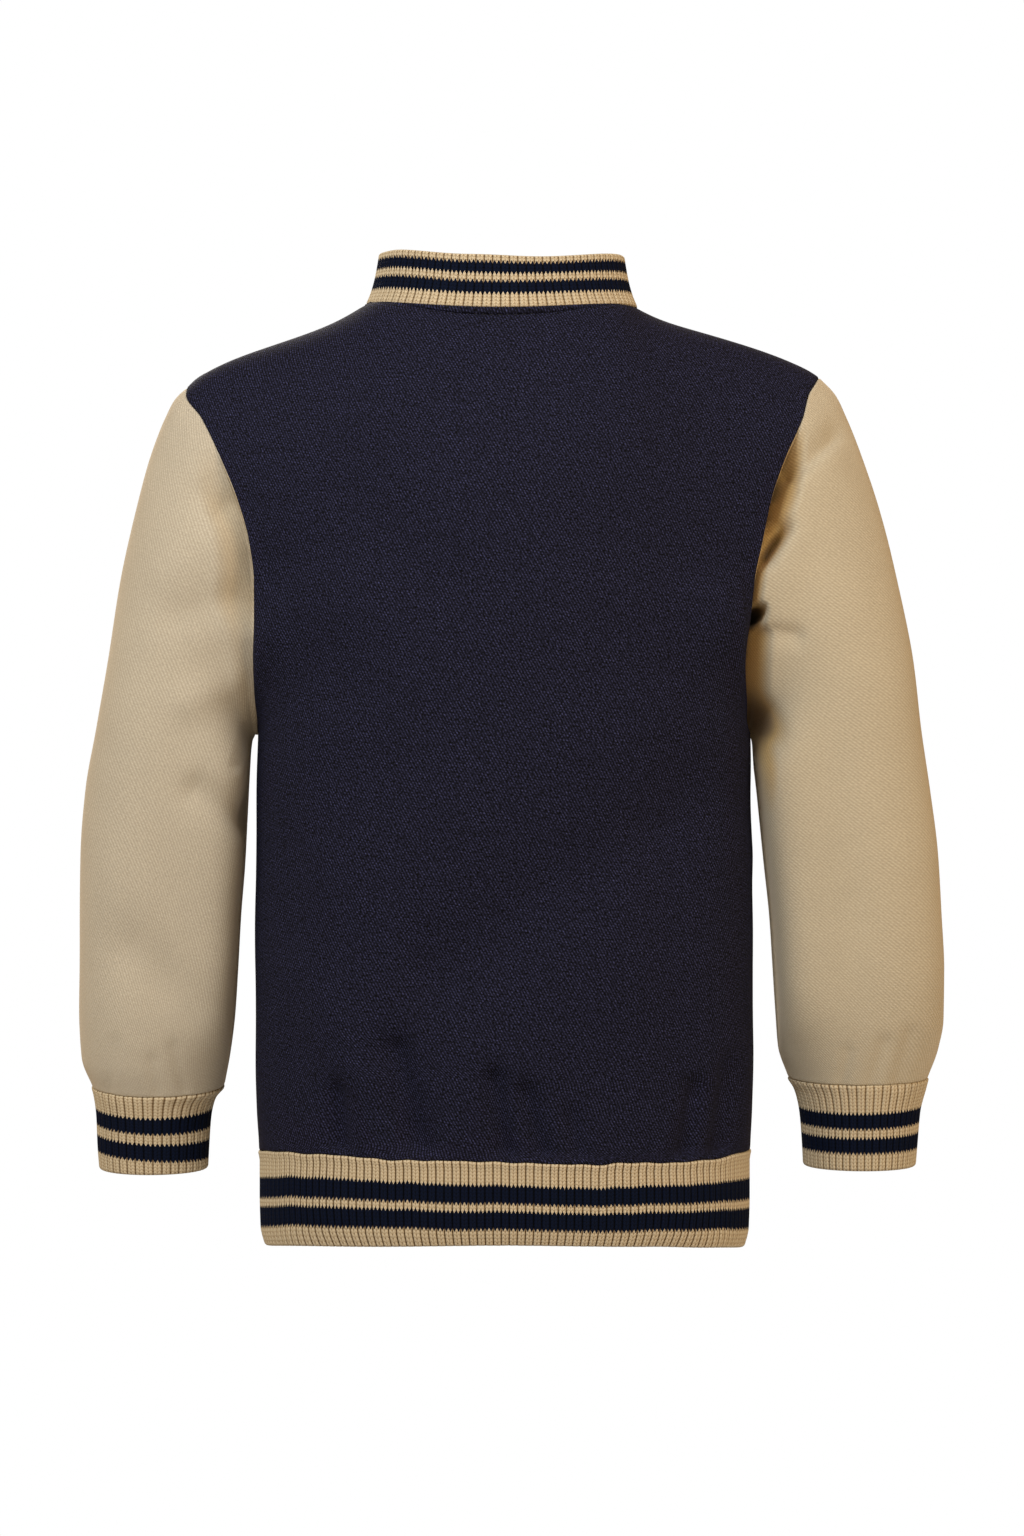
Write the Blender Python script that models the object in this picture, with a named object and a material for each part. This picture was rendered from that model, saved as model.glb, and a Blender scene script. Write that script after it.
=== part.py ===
"""A child's varsity bomber jacket, hollow and filled out as it is worn.

Frame: metres, +Z up. The back faces +Y, the fronts face -Y, and the wearer's left is +X. The origin lies
midway between the two high shoulder points, where the shoulders carry the jacket.

Each cloth piece is a wall of even thickness on a middle surface. The middle surfaces are worked out from the
tables below: the torso from its width and depth at each height, the sleeves and cuffs from rings, the rib
collar and hem band from the edges of the panels that they are sewn to. Pieces that are sewn together share the
points of their seam and the direction in which the wall is cut there, and each stops half a seam gap short.
"""

import math

import bpy
import numpy as np
from mathutils import Vector

# Cloth, in metres.
TWILL = 0.0016  # wall of the cotton twill
RIB = 0.0030  # wall of the doubled rib knit
SEAM_GAP = 0.0003  # between two pieces at their seam
LONGEST_MITRE = 2.2  # how far a seam at an angle may lengthen the wall's edge
SAME_POINT = 0.00002  # points nearer than this are one point of a seam
RIM_WAY = np.array([0.31, 0.87, 0.38])  # the diagonal of a rim face starts at its end that is less far this way

# Steps of the grids.
NECK_STEPS = 6  # from the centre line to the high shoulder point
SHOULDER_STEPS = 5  # along one shoulder seam
SIDE_STEPS = 9  # up the side seam, hem to underarm
ARM_STEPS = 12  # up the armhole, underarm to shoulder tip
SLEEVE_STEPS = 14  # down the sleeve
RIB_STEPS = 4  # down each rib

# Torso.
HEM_Z = -0.3896  # seam of the hem band at the sides
HEM_RISE = 0.0038  # the hem seam is this much higher at the centre back
UNDERARM_Z = -0.1975
TIP = {"left": (0.1450, -0.0393), "right": (0.1447, -0.0346)}  # shoulder tips, x and z
NECK = {"left": (0.0622, -0.0003), "right": (0.0602, -0.0034)}  # high shoulder points, x and z
NAPE = (0.0495, -0.0083)  # centre of the back neckline, depth and z
THROAT = (0.0470, -0.0460)  # centre of the front neckline, depth and z
NECK_SHARE = 0.45  # share of the panel's columns that end on the neckline
ROUNDNESS = 2.3  # exponent of the torso's superellipse below the underarm
ARM_DEPTH = {"back": 0.0440, "front": 0.0420}  # half width of the armhole, front to back
ARM_SCOOP = 0.0040  # the front armhole is cut this much deeper
EDGE_SHARP, EDGE_SOFT = 14, 2.2  # how near the armhole its pull on the panel stays, low down and high up
ARM_BLEND = 0.35  # share of the armhole's height over which that changes from sharp to soft
YOKE_DROP = 0.0800  # height over which the shoulder rounds down to full depth


def table(columns, *rows):
    """A dictionary of named columns."""
    return dict(zip(columns.split(), np.array(rows, float).T))


# The body's edges and its depth at the centre line. Above the underarm the edges are the armholes.
TORSO = table(
    "z left right back front",
    (-0.3900, 0.1115, 0.1122, 0.0755, 0.0780),
    (-0.3700, 0.1127, 0.1132, 0.0770, 0.0800),
    (-0.3400, 0.1131, 0.1136, 0.0775, 0.0815),
    (-0.3000, 0.1133, 0.1136, 0.0778, 0.0825),
    (-0.2500, 0.1130, 0.1118, 0.0792, 0.0832),
    (-0.2200, 0.1124, 0.1106, 0.0802, 0.0830),
    (-0.1975, 0.1121, 0.1106, 0.0808, 0.0825),
    (-0.1650, 0.1120, 0.1078, 0.0810, 0.0810),
    (-0.1470, 0.1112, 0.1098, 0.0806, 0.0795),
    (-0.1290, 0.1117, 0.1122, 0.0795, 0.0770),
    (-0.1110, 0.1141, 0.1160, 0.0775, 0.0735),
    (-0.0930, 0.1193, 0.1199, 0.0745, 0.0690),
    (-0.0750, 0.1268, 0.1262, 0.0700, 0.0635),
    (-0.0550, 0.1368, 0.1351, 0.0640, 0.0570),
    (-0.0440, 0.1446, 0.1384, 0.0600, 0.0535),
    (-0.0390, 0.1450, 0.1415, 0.0580, 0.0520),
    (-0.0340, 0.1460, 0.1447, 0.0560, 0.0500),
)

# The shoulder seam from the high shoulder point out to the tip, as shares of its run and of its fall.
SHOULDER = table(
    "run left right",
    (0.00, 0.000, 0.000),
    (0.05, 0.100, 0.100),
    (0.14, 0.215, 0.225),
    (0.28, 0.328, 0.295),
    (0.43, 0.437, 0.390),
    (0.59, 0.555, 0.510),
    (0.75, 0.673, 0.665),
    (0.87, 0.790, 0.815),
    (0.96, 0.888, 0.925),
    (1.00, 1.000, 1.000),
)

# Sleeves: where each ring's outer and inner points lie, seen from the back, its centre's y and its half depth.
# The first ring is the armhole itself.
SLEEVE = {
    "left": table(
        "outer_x outer_z inner_x inner_z y depth",
        (0.1450, -0.0393, 0.1121, -0.1975, 0.0000, 0.0430),
        (0.1500, -0.0440, 0.1148, -0.1980, 0.0000, 0.0428),
        (0.1548, -0.0530, 0.1159, -0.1990, 0.0000, 0.0425),
        (0.1620, -0.0718, 0.1166, -0.2005, -0.0005, 0.0420),
        (0.1692, -0.0990, 0.1170, -0.2028, -0.0010, 0.0418),
        (0.1752, -0.1270, 0.1175, -0.2065, -0.0015, 0.0415),
        (0.1808, -0.1640, 0.1180, -0.2125, -0.0020, 0.0412),
        (0.1862, -0.1950, 0.1186, -0.2220, -0.0030, 0.0408),
        (0.1913, -0.2230, 0.1193, -0.2370, -0.0040, 0.0402),
        (0.1938, -0.2520, 0.1206, -0.2580, -0.0055, 0.0392),
        (0.1944, -0.2800, 0.1226, -0.2820, -0.0070, 0.0380),
        (0.1947, -0.3060, 0.1240, -0.3060, -0.0085, 0.0365),
        (0.1952, -0.3280, 0.1254, -0.3280, -0.0100, 0.0345),
        (0.1946, -0.3460, 0.1277, -0.3460, -0.0112, 0.0310),
        (0.1897, -0.3600, 0.1303, -0.3600, -0.0120, 0.0262),
    ),
    "right": table(
        "outer_x outer_z inner_x inner_z y depth",
        (0.1447, -0.0346, 0.1106, -0.1975, 0.0000, 0.0430),
        (0.1520, -0.0425, 0.1133, -0.1980, 0.0000, 0.0428),
        (0.1570, -0.0530, 0.1144, -0.1990, 0.0000, 0.0425),
        (0.1644, -0.0718, 0.1149, -0.2005, -0.0005, 0.0420),
        (0.1730, -0.0990, 0.1152, -0.2028, -0.0010, 0.0418),
        (0.1797, -0.1270, 0.1155, -0.2065, -0.0015, 0.0415),
        (0.1870, -0.1640, 0.1160, -0.2125, -0.0020, 0.0412),
        (0.1918, -0.1950, 0.1172, -0.2220, -0.0030, 0.0410),
        (0.1959, -0.2230, 0.1188, -0.2370, -0.0040, 0.0406),
        (0.1986, -0.2520, 0.1210, -0.2580, -0.0050, 0.0400),
        (0.2012, -0.2800, 0.1236, -0.2820, -0.0060, 0.0392),
        (0.2026, -0.3060, 0.1252, -0.3060, -0.0070, 0.0380),
        (0.2018, -0.3280, 0.1266, -0.3280, -0.0080, 0.0355),
        (0.1998, -0.3420, 0.1276, -0.3420, -0.0086, 0.0320),
        (0.1950, -0.3560, 0.1322, -0.3560, -0.0090, 0.0270),
    ),
}
CUFF = {
    "left": table(
        "outer_x outer_z inner_x inner_z y depth",
        (0.1895, -0.3600, 0.1303, -0.3600, -0.0120, 0.0262),
        (0.1884, -0.3655, 0.1348, -0.3655, -0.0122, 0.0248),
        (0.1874, -0.3740, 0.1371, -0.3740, -0.0126, 0.0236),
        (0.1869, -0.3880, 0.1382, -0.3880, -0.0132, 0.0226),
        (0.1861, -0.3990, 0.1388, -0.3990, -0.0136, 0.0220),
    ),
    "right": table(
        "outer_x outer_z inner_x inner_z y depth",
        (0.1950, -0.3560, 0.1322, -0.3560, -0.0090, 0.0270),
        (0.1936, -0.3615, 0.1356, -0.3615, -0.0092, 0.0256),
        (0.1911, -0.3715, 0.1381, -0.3715, -0.0096, 0.0244),
        (0.1899, -0.3860, 0.1394, -0.3860, -0.0102, 0.0232),
        (0.1890, -0.3972, 0.1400, -0.3972, -0.0106, 0.0226),
    ),
}
RING_DROP = {"left": 0.0024, "right": 0.0004}  # the back of the cuff's rings is this much lower than the front

# The largest folds: a trough from one point to another on the named face, as x and z, with its half width
# and its depth. x is measured outwards from the centre line.
FOLDS = table(
    "left back x1 z1 x2 z2 width depth",
    (0, 1, 0.154, -0.060, 0.136, -0.082, 0.010, 0.0034),
    (0, 1, 0.136, -0.104, 0.120, -0.124, 0.009, 0.0044),
    (0, 1, 0.114, -0.150, 0.136, -0.156, 0.010, 0.0046),
    (0, 0, 0.150, -0.078, 0.126, -0.112, 0.011, 0.0044),
    (0, 0, 0.144, -0.138, 0.116, -0.160, 0.010, 0.0044),
    (0, 0, 0.192, -0.205, 0.148, -0.230, 0.013, 0.0036),
    (1, 1, 0.148, -0.134, 0.116, -0.142, 0.010, 0.0040),
    (1, 1, 0.137, -0.230, 0.119, -0.248, 0.011, 0.0036),
    (1, 1, 0.168, -0.296, 0.140, -0.320, 0.013, 0.0026),
    (1, 0, 0.148, -0.090, 0.124, -0.126, 0.011, 0.0044),
    (1, 0, 0.144, -0.148, 0.118, -0.168, 0.010, 0.0042),
    (1, 0, 0.188, -0.212, 0.146, -0.240, 0.013, 0.0036),
)
FOLD_FREE = 0.016  # a fold fades out over this distance from the armhole

# Ribs: how far down each row lies, as a share of the height, and how far it is set in from the seam.
HEM_HEIGHT = {"side": 0.0412, "back": 0.0374, "front": 0.0400}
HEM_ROWS = table("down inset", (0.0, 0.0), (0.10, 0.0009), (0.45, 0.0009), (0.80, 0.0013), (1.0, 0.0036))
COLLAR_HEIGHT = {"side": 0.0240, "back": 0.0228, "front": 0.0215}
COLLAR_ROWS = table("up lean", (0.0, 0.0), (0.20, 0.33), (0.50, 0.66), (0.80, 0.88), (1.0, 1.0))
COLLAR_LEAN = 0.0062  # the top edge is this much nearer the neck than the seam is
COLLAR_ENDS = (0.66, 0.93)  # height at the last two columns of its rounded front ends, as a share

# The closing: the left front laps over the right.
LAP = 0.0110  # how far each front runs past the centre line
LAP_COLUMNS = (0.012, 0.045)  # the front's columns next to the centre line
LAP_CUT = 0.0012  # the lap's top corner is cut this much lower than the neckline
LAP_STEP = 0.0022  # how far the right front lies behind the left one
HEM_LAP_STEP = 0.0036  # the same at the hem band, which is thicker
LAP_CLEAR = 0.0040  # it lies fully behind from this far outside the lap
LAP_EASE = 0.0200  # width over which the right front eases inwards

# Press studs.
SNAP_RADIUS = 0.0062
SNAP_HEIGHT = 0.0026
SNAP_SEGMENTS = 16
FRONT_SNAPS = 5
FIRST_SNAP_Z, LAST_SNAP_Z = -0.0640, -0.3660
SNAP_PROFILE = table("radius height", (1.00, 0.00), (1.00, 0.30), (0.90, 0.62), (0.62, 0.90), (0.30, 0.99))

COLOURS = {  # base colour, roughness, metallic
    "navy twill": ((0.019, 0.018, 0.033), 0.85, 0.0),
    "sand twill": ((0.520, 0.410, 0.265), 0.85, 0.0),
    "rib knit": ((0.450, 0.350, 0.205), 0.90, 0.0),
    "painted snap": ((0.015, 0.016, 0.028), 0.45, 0.6),
}


def smooth(x):
    """0 below 0, 1 above 1, and a smooth rise between."""
    x = np.clip(x, 0, 1)
    return x * x * (3 - 2 * x)


def mix(a, b, share):
    return a + (b - a) * share


def read(columns, name, along, at):
    """Column name as a smooth curve over column along, by cubic Hermite pieces whose slopes don't overshoot."""
    x, y = columns[along], columns[name]
    steps = np.diff(y) / np.diff(x)
    same_way = steps[1:] * steps[:-1] > 0
    inner = np.where(same_way, 2 * steps[1:] * steps[:-1] / np.where(same_way, steps[1:] + steps[:-1], 1), 0)
    slopes = np.concatenate([steps[:1], inner, steps[-1:]])
    at = np.clip(at, x[0], x[-1])
    k = np.clip(np.searchsorted(x, at, side="right") - 1, 0, len(x) - 2)
    width = x[k + 1] - x[k]
    t = (at - x[k]) / width
    start = (1 + 2 * t) * (1 - t) ** 2 * y[k] + t * (1 - t) ** 2 * width * slopes[k]
    end = t * t * (3 - 2 * t) * y[k + 1] - t * t * (1 - t) * width * slopes[k + 1]
    return start + end


def torso(u, v, face):
    """The torso's middle surface at columns u and rows v, an array of points.

    u runs from -1 at the right edge to 1 at the left one. v runs from -1 at the hem to 0 at the underarm and
    on to 1 at the shoulder. face is back or front.
    """
    u, v = np.broadcast_arrays(np.asarray(u, float), np.asarray(v, float))
    away, left = abs(u), (1 + u) / 2
    tip_x = np.where(u >= 0, TIP["left"][0], TIP["right"][0])
    tip_z = mix(TIP["right"][1], TIP["left"][1], left)
    neck_x = np.where(u >= 0, NECK["left"][0], NECK["right"][0])
    neck_z = mix(NECK["right"][1], NECK["left"][1], left)
    centre_y, centre_z = NAPE if face == "back" else THROAT

    # The top edge: the neckline, then the shoulder seam.
    turn = np.clip(away / NECK_SHARE, 0, 1) * math.pi / 2
    out = np.clip((away - NECK_SHARE) / (1 - NECK_SHARE), 0, 1)
    scoop = np.cos(turn) ** (2 if face == "back" else 1.3)
    top_x = np.where(away < NECK_SHARE, neck_x * np.sin(turn), mix(neck_x, tip_x, out))
    top_y = np.where(away < NECK_SHARE, centre_y * np.cos(turn), 0)
    top_z = np.where(
        away < NECK_SHARE,
        mix(neck_z, centre_z, scoop),
        mix(neck_z, tip_z, mix(read(SHOULDER, "right", "run", out), read(SHOULDER, "left", "run", out), u > 0)),
    )

    # The edge of the panel at this row: side seam, then armhole.
    climb = np.where(v > 0, (1 - np.cos(math.pi * np.clip(v, 0, 1))) / 2, 0)
    height = np.where(v > 0, mix(UNDERARM_Z, tip_z, climb), mix(UNDERARM_Z, HEM_Z, -np.clip(v, -1, 0)))
    edge = np.where(u >= 0, read(TORSO, "left", "z", height), read(TORSO, "right", "z", height))
    arm = np.sin(math.pi * np.clip(v, 0, 1))
    edge = np.where(v >= 1, tip_x, edge) - (ARM_SCOOP * arm**2 if face == "front" else 0)
    arm_y = ARM_DEPTH[face] * arm

    # Across the row: round below the underarm, flatter towards the armholes.
    round_x = np.sin(away * math.pi / 2) ** (2 / ROUNDNESS)
    across = mix(round_x, top_x / tip_x, smooth(climb))
    round_y = np.clip(1 - across**ROUNDNESS, 0, 1) ** (1 / ROUNDNESS)
    crown = mix(round_y, 1 - across**2, smooth(climb / 0.45))
    edge_pull = across ** mix(EDGE_SHARP, EDGE_SOFT, smooth(climb / ARM_BLEND))

    fall = np.clip((tip_z - height) / YOKE_DROP, 0, 1)
    over = np.sqrt(1 - (1 - fall) ** 2)
    depth = read(TORSO, face, "z", height)
    bell = centre_y * np.clip(1 - (away / 0.9) ** 2, 0, 1) ** 2
    y = mix(top_y, bell, over) * (1 - over) + arm_y * edge_pull + depth * over * crown
    z = height + (top_z - tip_z) * climb
    if face == "back":
        z = z + HEM_RISE * (1 - across**2) * smooth(-v) ** 2
    return np.stack([np.sign(u) * edge * across, y if face == "back" else -y, z], -1)


def folded(points, side):
    """points moved in by the folds of this side's sleeve, each a soft trough that fades at its ends."""
    away = abs(points[..., 0])
    centre = points.mean(axis=1, keepdims=True)
    inwards = centre - points
    inwards = inwards / np.linalg.norm(inwards, axis=-1, keepdims=True)
    shift = np.zeros(away.shape)
    behind = points[..., 1] > centre[..., 1]
    for left, back, x1, z1, x2, z2, width, depth in zip(*FOLDS.values()):
        if (left == 1) != (side == "left"):
            continue
        run = np.array([x2 - x1, z2 - z1])
        from_start = np.stack([away - x1, points[..., 2] - z1], -1)
        share = np.clip(from_start @ run / (run @ run), 0, 1)
        gap = np.linalg.norm(from_start - share[..., None] * run, axis=-1)
        shift += np.where(behind == (back == 1), depth * np.exp(-((gap / width) ** 2)), 0)
    free = smooth(np.linalg.norm(points - points[:1], axis=-1) / FOLD_FREE)
    return points + inwards * (shift * free)[..., None]


def rings(columns, side, down, around):
    """Rings of a sleeve or cuff: down from 0 to 1 along the table's rows, around from 0 at the outer point."""
    place = dict(columns, row=np.linspace(0, 1, len(columns["y"])))
    outer, inner = (
        np.stack([read(place, end + "_x", "row", down), read(place, end + "_z", "row", down)], -1)
        for end in ("outer", "inner")
    )
    centre, reach = (outer + inner) / 2, (outer - inner) / 2
    turn = np.cos(around)[None, :, None]
    flat = centre[:, None] + reach[:, None] * turn
    y = read(place, "y", "row", down)[:, None] + read(place, "depth", "row", down)[:, None] * np.sin(around)
    sign = 1 if side == "left" else -1
    return np.stack([sign * flat[..., 0], y, flat[..., 1]], -1)


def armhole(side):
    """The closed armhole seam, from the shoulder tip down the back and up the front."""
    u = 1 if side == "left" else -1
    back = torso(u, np.linspace(1, 0, ARM_STEPS + 1), "back")
    front = torso(u, np.linspace(0, 1, ARM_STEPS + 1), "front")
    return np.concatenate([back[:-1], front[:-1]])


def sleeve(side):
    """The sleeve's rings. The first is the armhole, and what that differs from a plain ring fades down the cap."""
    down = np.linspace(0, 1, SLEEVE_STEPS + 1)
    around = np.linspace(0, 2 * math.pi, 2 * ARM_STEPS, endpoint=False)
    points = rings(SLEEVE[side], side, down, around)
    points += (armhole(side) - points[0]) * (1 - smooth(down / 0.35))[:, None, None]
    points[..., 2] -= RING_DROP[side] * np.sin(around) * smooth((down[:, None] - 0.6) / 0.4)
    return folded(points, side)


def cuff(side):
    around = np.linspace(0, 2 * math.pi, 2 * ARM_STEPS, endpoint=False)
    points = rings(CUFF[side], side, np.linspace(0, 1, RIB_STEPS + 1), around)
    points[..., 2] -= RING_DROP[side] * np.sin(around)
    points[0] = sleeve(side)[-1]
    return points


def columns_to_side():
    """The panel's columns from the centre line out to the side."""
    neck = np.linspace(0, NECK_SHARE, NECK_STEPS + 1)
    return np.concatenate([neck, np.linspace(NECK_SHARE, 1, SHOULDER_STEPS + 1)[1:]])


def rows_up():
    return np.concatenate([np.linspace(-1, 0, SIDE_STEPS + 1), np.linspace(0, 1, ARM_STEPS + 1)[1:]])


def back():
    """Rows from the hem up, columns from the right edge to the left."""
    half = columns_to_side()
    return torso(np.concatenate([-half[:0:-1], half])[None], rows_up()[:, None], "back")


def front(side):
    """Rows from the hem up, columns from the side to the centre line and on over the lap."""
    sign = 1 if side == "left" else -1
    half = np.concatenate([LAP_COLUMNS, columns_to_side()[1:]])
    points = torso(sign * half[::-1][None], rows_up()[:, None], "front")
    lap = torso(-sign * LAP_COLUMNS[1], rows_up()[:, None], "front")
    lap[..., 0] = -sign * LAP
    lap[-1, :, 2] -= LAP_CUT
    points = np.concatenate([points, lap], axis=1)
    if side == "right":
        step = mix(LAP_STEP, HEM_LAP_STEP, smooth((-0.33 - points[..., 2]) / 0.05))
        step = step * (1 - smooth((-points[..., 0] - LAP - LAP_CLEAR) / LAP_EASE))
        points = points - normals(points, False) * step[..., None]
    return points


def height_round(inwards, heights):
    """The height of a rib at each point round the body, from its heights at the side, back and front."""
    facing = -inwards[:, 1]
    centre = np.where(facing > 0, heights["back"], heights["front"])
    return mix(heights["side"], centre, facing**2)


def hem_rib(panels):
    """The band hangs from the bottom rows of the left front, the back and the right front."""
    seam = np.concatenate(
        [panels["front_left"][0][::-1], panels["back"][0][-2:0:-1], panels["front_right"][0]]
    )
    inwards = -seam * (1, 1, 0)
    inwards /= np.linalg.norm(inwards, axis=-1, keepdims=True)
    height = height_round(inwards, HEM_HEIGHT)
    rows = []
    for down, inset in zip(HEM_ROWS["down"], HEM_ROWS["inset"]):
        drop = np.stack([0 * height, 0 * height, height * down], -1)
        rows.append(seam + inwards * inset - drop)
    return np.array(rows)


def collar(panels):
    """The collar stands on the neckline, from the left front round the back to the right front."""
    shoulder = SHOULDER_STEPS
    seam = np.concatenate(
        [
            panels["front_left"][-1][shoulder:-1][::-1],
            panels["back"][-1][shoulder + 1 : -shoulder - 1][::-1],
            panels["front_right"][-1][shoulder:-1],
        ]
    )
    inwards = -seam * (1, 1, 0)
    inwards /= np.linalg.norm(inwards, axis=-1, keepdims=True)
    height = height_round(inwards, COLLAR_HEIGHT)
    for k, share in enumerate(COLLAR_ENDS):
        height[[k, -1 - k]] *= share
    rows = []
    for up, lean in zip(COLLAR_ROWS["up"], COLLAR_ROWS["lean"]):
        rise = np.stack([0 * height, 0 * height, height * up], -1)
        rows.append(seam + inwards * COLLAR_LEAN * lean + rise)
    return np.array(rows)


def normals(points, closed):
    """Unit normals of a grid, pointing away from the hollow that the piece goes round."""
    if closed:
        ring = np.concatenate([points[:, -1:], points, points[:, :1]], axis=1)
        across = np.gradient(ring, axis=1)[:, 1:-1]
    else:
        across = np.gradient(points, axis=1)
    n = np.cross(across, np.gradient(points, axis=0))
    n /= np.maximum(np.linalg.norm(n, axis=-1, keepdims=True), 1e-12)
    away = points - (points.mean(axis=1, keepdims=True) if closed else np.array([0, 0, 1]) * points)
    return n if (n * away).sum() > 0 else -n


def shared_normals(grids, walls):
    """At points that pieces share, one direction for all of them, lengthened so that each wall keeps its
    thickness where they meet at an angle, up to LONGEST_MITRE. It returns where each grid's seam points are."""
    places = []
    for name, points in grids.items():
        edge = np.ones(points.shape[:2], bool)
        edge[1:-1, 1:-1] = False
        places += [(name, i, j) for i, j in zip(*np.nonzero(edge))]
    owners = np.array([name for name, _, _ in places])
    where = np.array([grids[name][i, j] for name, i, j in places])
    plain = np.array([walls[name][i, j] for name, i, j in places])
    same = np.linalg.norm(where[:, None] - where[None], axis=-1) < SAME_POINT
    seams = {name: np.zeros(points.shape[:2], bool) for name, points in grids.items()}
    for k, (name, i, j) in enumerate(places):
        if (owners[same[k]] != name).any():
            shared = plain[same[k]].sum(axis=0)
            shared /= np.linalg.norm(shared)
            walls[name][i, j] = shared / max(1 / LONGEST_MITRE, shared @ plain[k])
            seams[name][i, j] = True
    return seams


def seam_inset(points, wall, seams, closed):
    """points with those on a seam moved half the seam gap into the piece, along the surface."""
    moved = points.copy()
    rows, columns = seams.shape
    ring = np.concatenate([points[:, -1:], points, points[:, :1]], axis=1)
    along_rows = (np.gradient(ring, axis=1)[:, 1:-1]) if closed else np.gradient(points, axis=1)
    along_columns = np.gradient(points, axis=0)
    for i, j in zip(*np.nonzero(seams)):
        if i in (0, rows - 1) and seams[i, (j + 1) % columns if j < columns - 1 or closed else j - 1]:
            inside = points[1 if i == 0 else rows - 2, j] - points[i, j]
            moved[i, j] += half_gap(along_rows[i, j], wall[i, j], inside)
        if not closed and j in (0, columns - 1) and seams[i + 1 if i < rows - 1 else i - 1, j]:
            inside = points[i, 1 if j == 0 else columns - 2] - points[i, j]
            moved[i, j] += half_gap(along_columns[i, j], wall[i, j], inside)
    return moved


def half_gap(tangent, wall, inside):
    step = np.cross(tangent, wall)
    step *= SEAM_GAP / 2 / np.linalg.norm(step)
    return step if step @ inside > 0 else -step


def add_wall(name, points, wall, thickness, closed, material):
    """A closed solid: the grid moved out and in by half the thickness, joined round its edges."""
    rows, columns = points.shape[:2]
    skins = [points + wall * thickness / 2, points - wall * thickness / 2]
    vertices = np.concatenate([skin.reshape(-1, 3) for skin in skins])
    inner = rows * columns
    span = columns if closed else columns - 1
    faces = []
    for i in range(rows - 1):
        for j in range(span):
            a, b = i * columns + j, i * columns + (j + 1) % columns
            c, d = b + columns, a + columns
            faces.append((a, b, c, d))
            faces.append((inner + d, inner + c, inner + b, inner + a))
    rims = []
    for j in range(span):
        a, b = j, (j + 1) % columns
        top = (rows - 1) * columns
        rims += [(b, a), (top + a, top + b)]
    for i in range(0 if closed else rows - 1):
        a, d = i * columns, (i + 1) * columns
        rims += [(a, d), (d + columns - 1, a + columns - 1)]
    flat = points.reshape(-1, 3)
    for a, b in rims:
        # Pieces that share a seam split their rims the same way, whichever way round they run.
        if (flat[b] - flat[a]) @ RIM_WAY > 0:
            faces += [(a, b, inner + b), (a, inner + b, inner + a)]
        else:
            faces += [(a, b, inner + a), (b, inner + b, inner + a)]
    add_solid(name, vertices, faces, material)


def add_solid(name, vertices, faces, material):
    mesh = bpy.data.meshes.new(name)
    mesh.from_pydata([tuple(map(float, v)) for v in vertices], [], faces)
    if signed_volume(mesh) < 0:
        mesh.flip_normals()
    mesh.shade_smooth()
    mesh.set_sharp_from_angle(angle=math.radians(40))
    mesh.materials.append(material)
    solid = bpy.data.objects.new(name, mesh)
    bpy.context.scene.collection.objects.link(solid)
    return solid


def signed_volume(mesh):
    """The volume inside the mesh, from its triangles. It is negative where the faces look inwards."""
    mesh.calc_loop_triangles()
    points = np.array([v.co for v in mesh.vertices])
    corners = points[np.array([t.vertices for t in mesh.loop_triangles])]
    return (corners[:, 0] * np.cross(corners[:, 1], corners[:, 2])).sum() / 6


def add_snap(name, place, outwards, material):
    """A domed cap, flat at the back, with its origin at the middle of its back."""
    angles = np.arange(SNAP_SEGMENTS) * 2 * math.pi / SNAP_SEGMENTS
    vertices = np.concatenate(
        [
            np.stack(
                [
                    SNAP_RADIUS * radius * np.cos(angles),
                    SNAP_RADIUS * radius * np.sin(angles),
                    SNAP_HEIGHT * height + 0 * angles,
                ],
                -1,
            )
            for radius, height in zip(SNAP_PROFILE["radius"], SNAP_PROFILE["height"])
        ]
    )
    faces = [tuple(range(SNAP_SEGMENTS))[::-1]]
    for start in range(0, len(vertices) - SNAP_SEGMENTS, SNAP_SEGMENTS):
        for j in range(SNAP_SEGMENTS):
            a, b = start + j, start + (j + 1) % SNAP_SEGMENTS
            faces.append((a, b, b + SNAP_SEGMENTS, a + SNAP_SEGMENTS))
    faces.append(tuple(range(len(vertices) - SNAP_SEGMENTS, len(vertices))))
    snap = add_solid(name, vertices, faces, material)
    snap.location = place
    snap.rotation_euler = Vector(outwards).to_track_quat("Z", "Y").to_euler()


def new_material(name):
    colour, roughness, metallic = COLOURS[name]
    material = bpy.data.materials.new(name)
    material.use_nodes = True
    shader = material.node_tree.nodes["Principled BSDF"]
    shader.inputs["Base Color"].default_value = (*colour, 1)
    shader.inputs["Roughness"].default_value = roughness
    shader.inputs["Metallic"].default_value = metallic
    return material


def on_front(points, height, thickness):
    """A seam gap off the outside of the left front or the band, on the centre line at this height, and which
    way is outwards there."""
    column = points[:, -2] if points.shape[0] > RIB_STEPS + 1 else points[:, 1]
    order = np.argsort(column[:, 2])
    y = np.interp(height, column[order, 2], column[order, 1])
    step = 0.005
    above = np.interp(height + step, column[order, 2], column[order, 1])
    below = np.interp(height - step, column[order, 2], column[order, 1])
    outwards = np.array([0, -2 * step, above - below])
    outwards /= np.linalg.norm(outwards)
    place = np.array([0, y, height]) + outwards * (thickness / 2 + SEAM_GAP)
    return place, outwards


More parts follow.
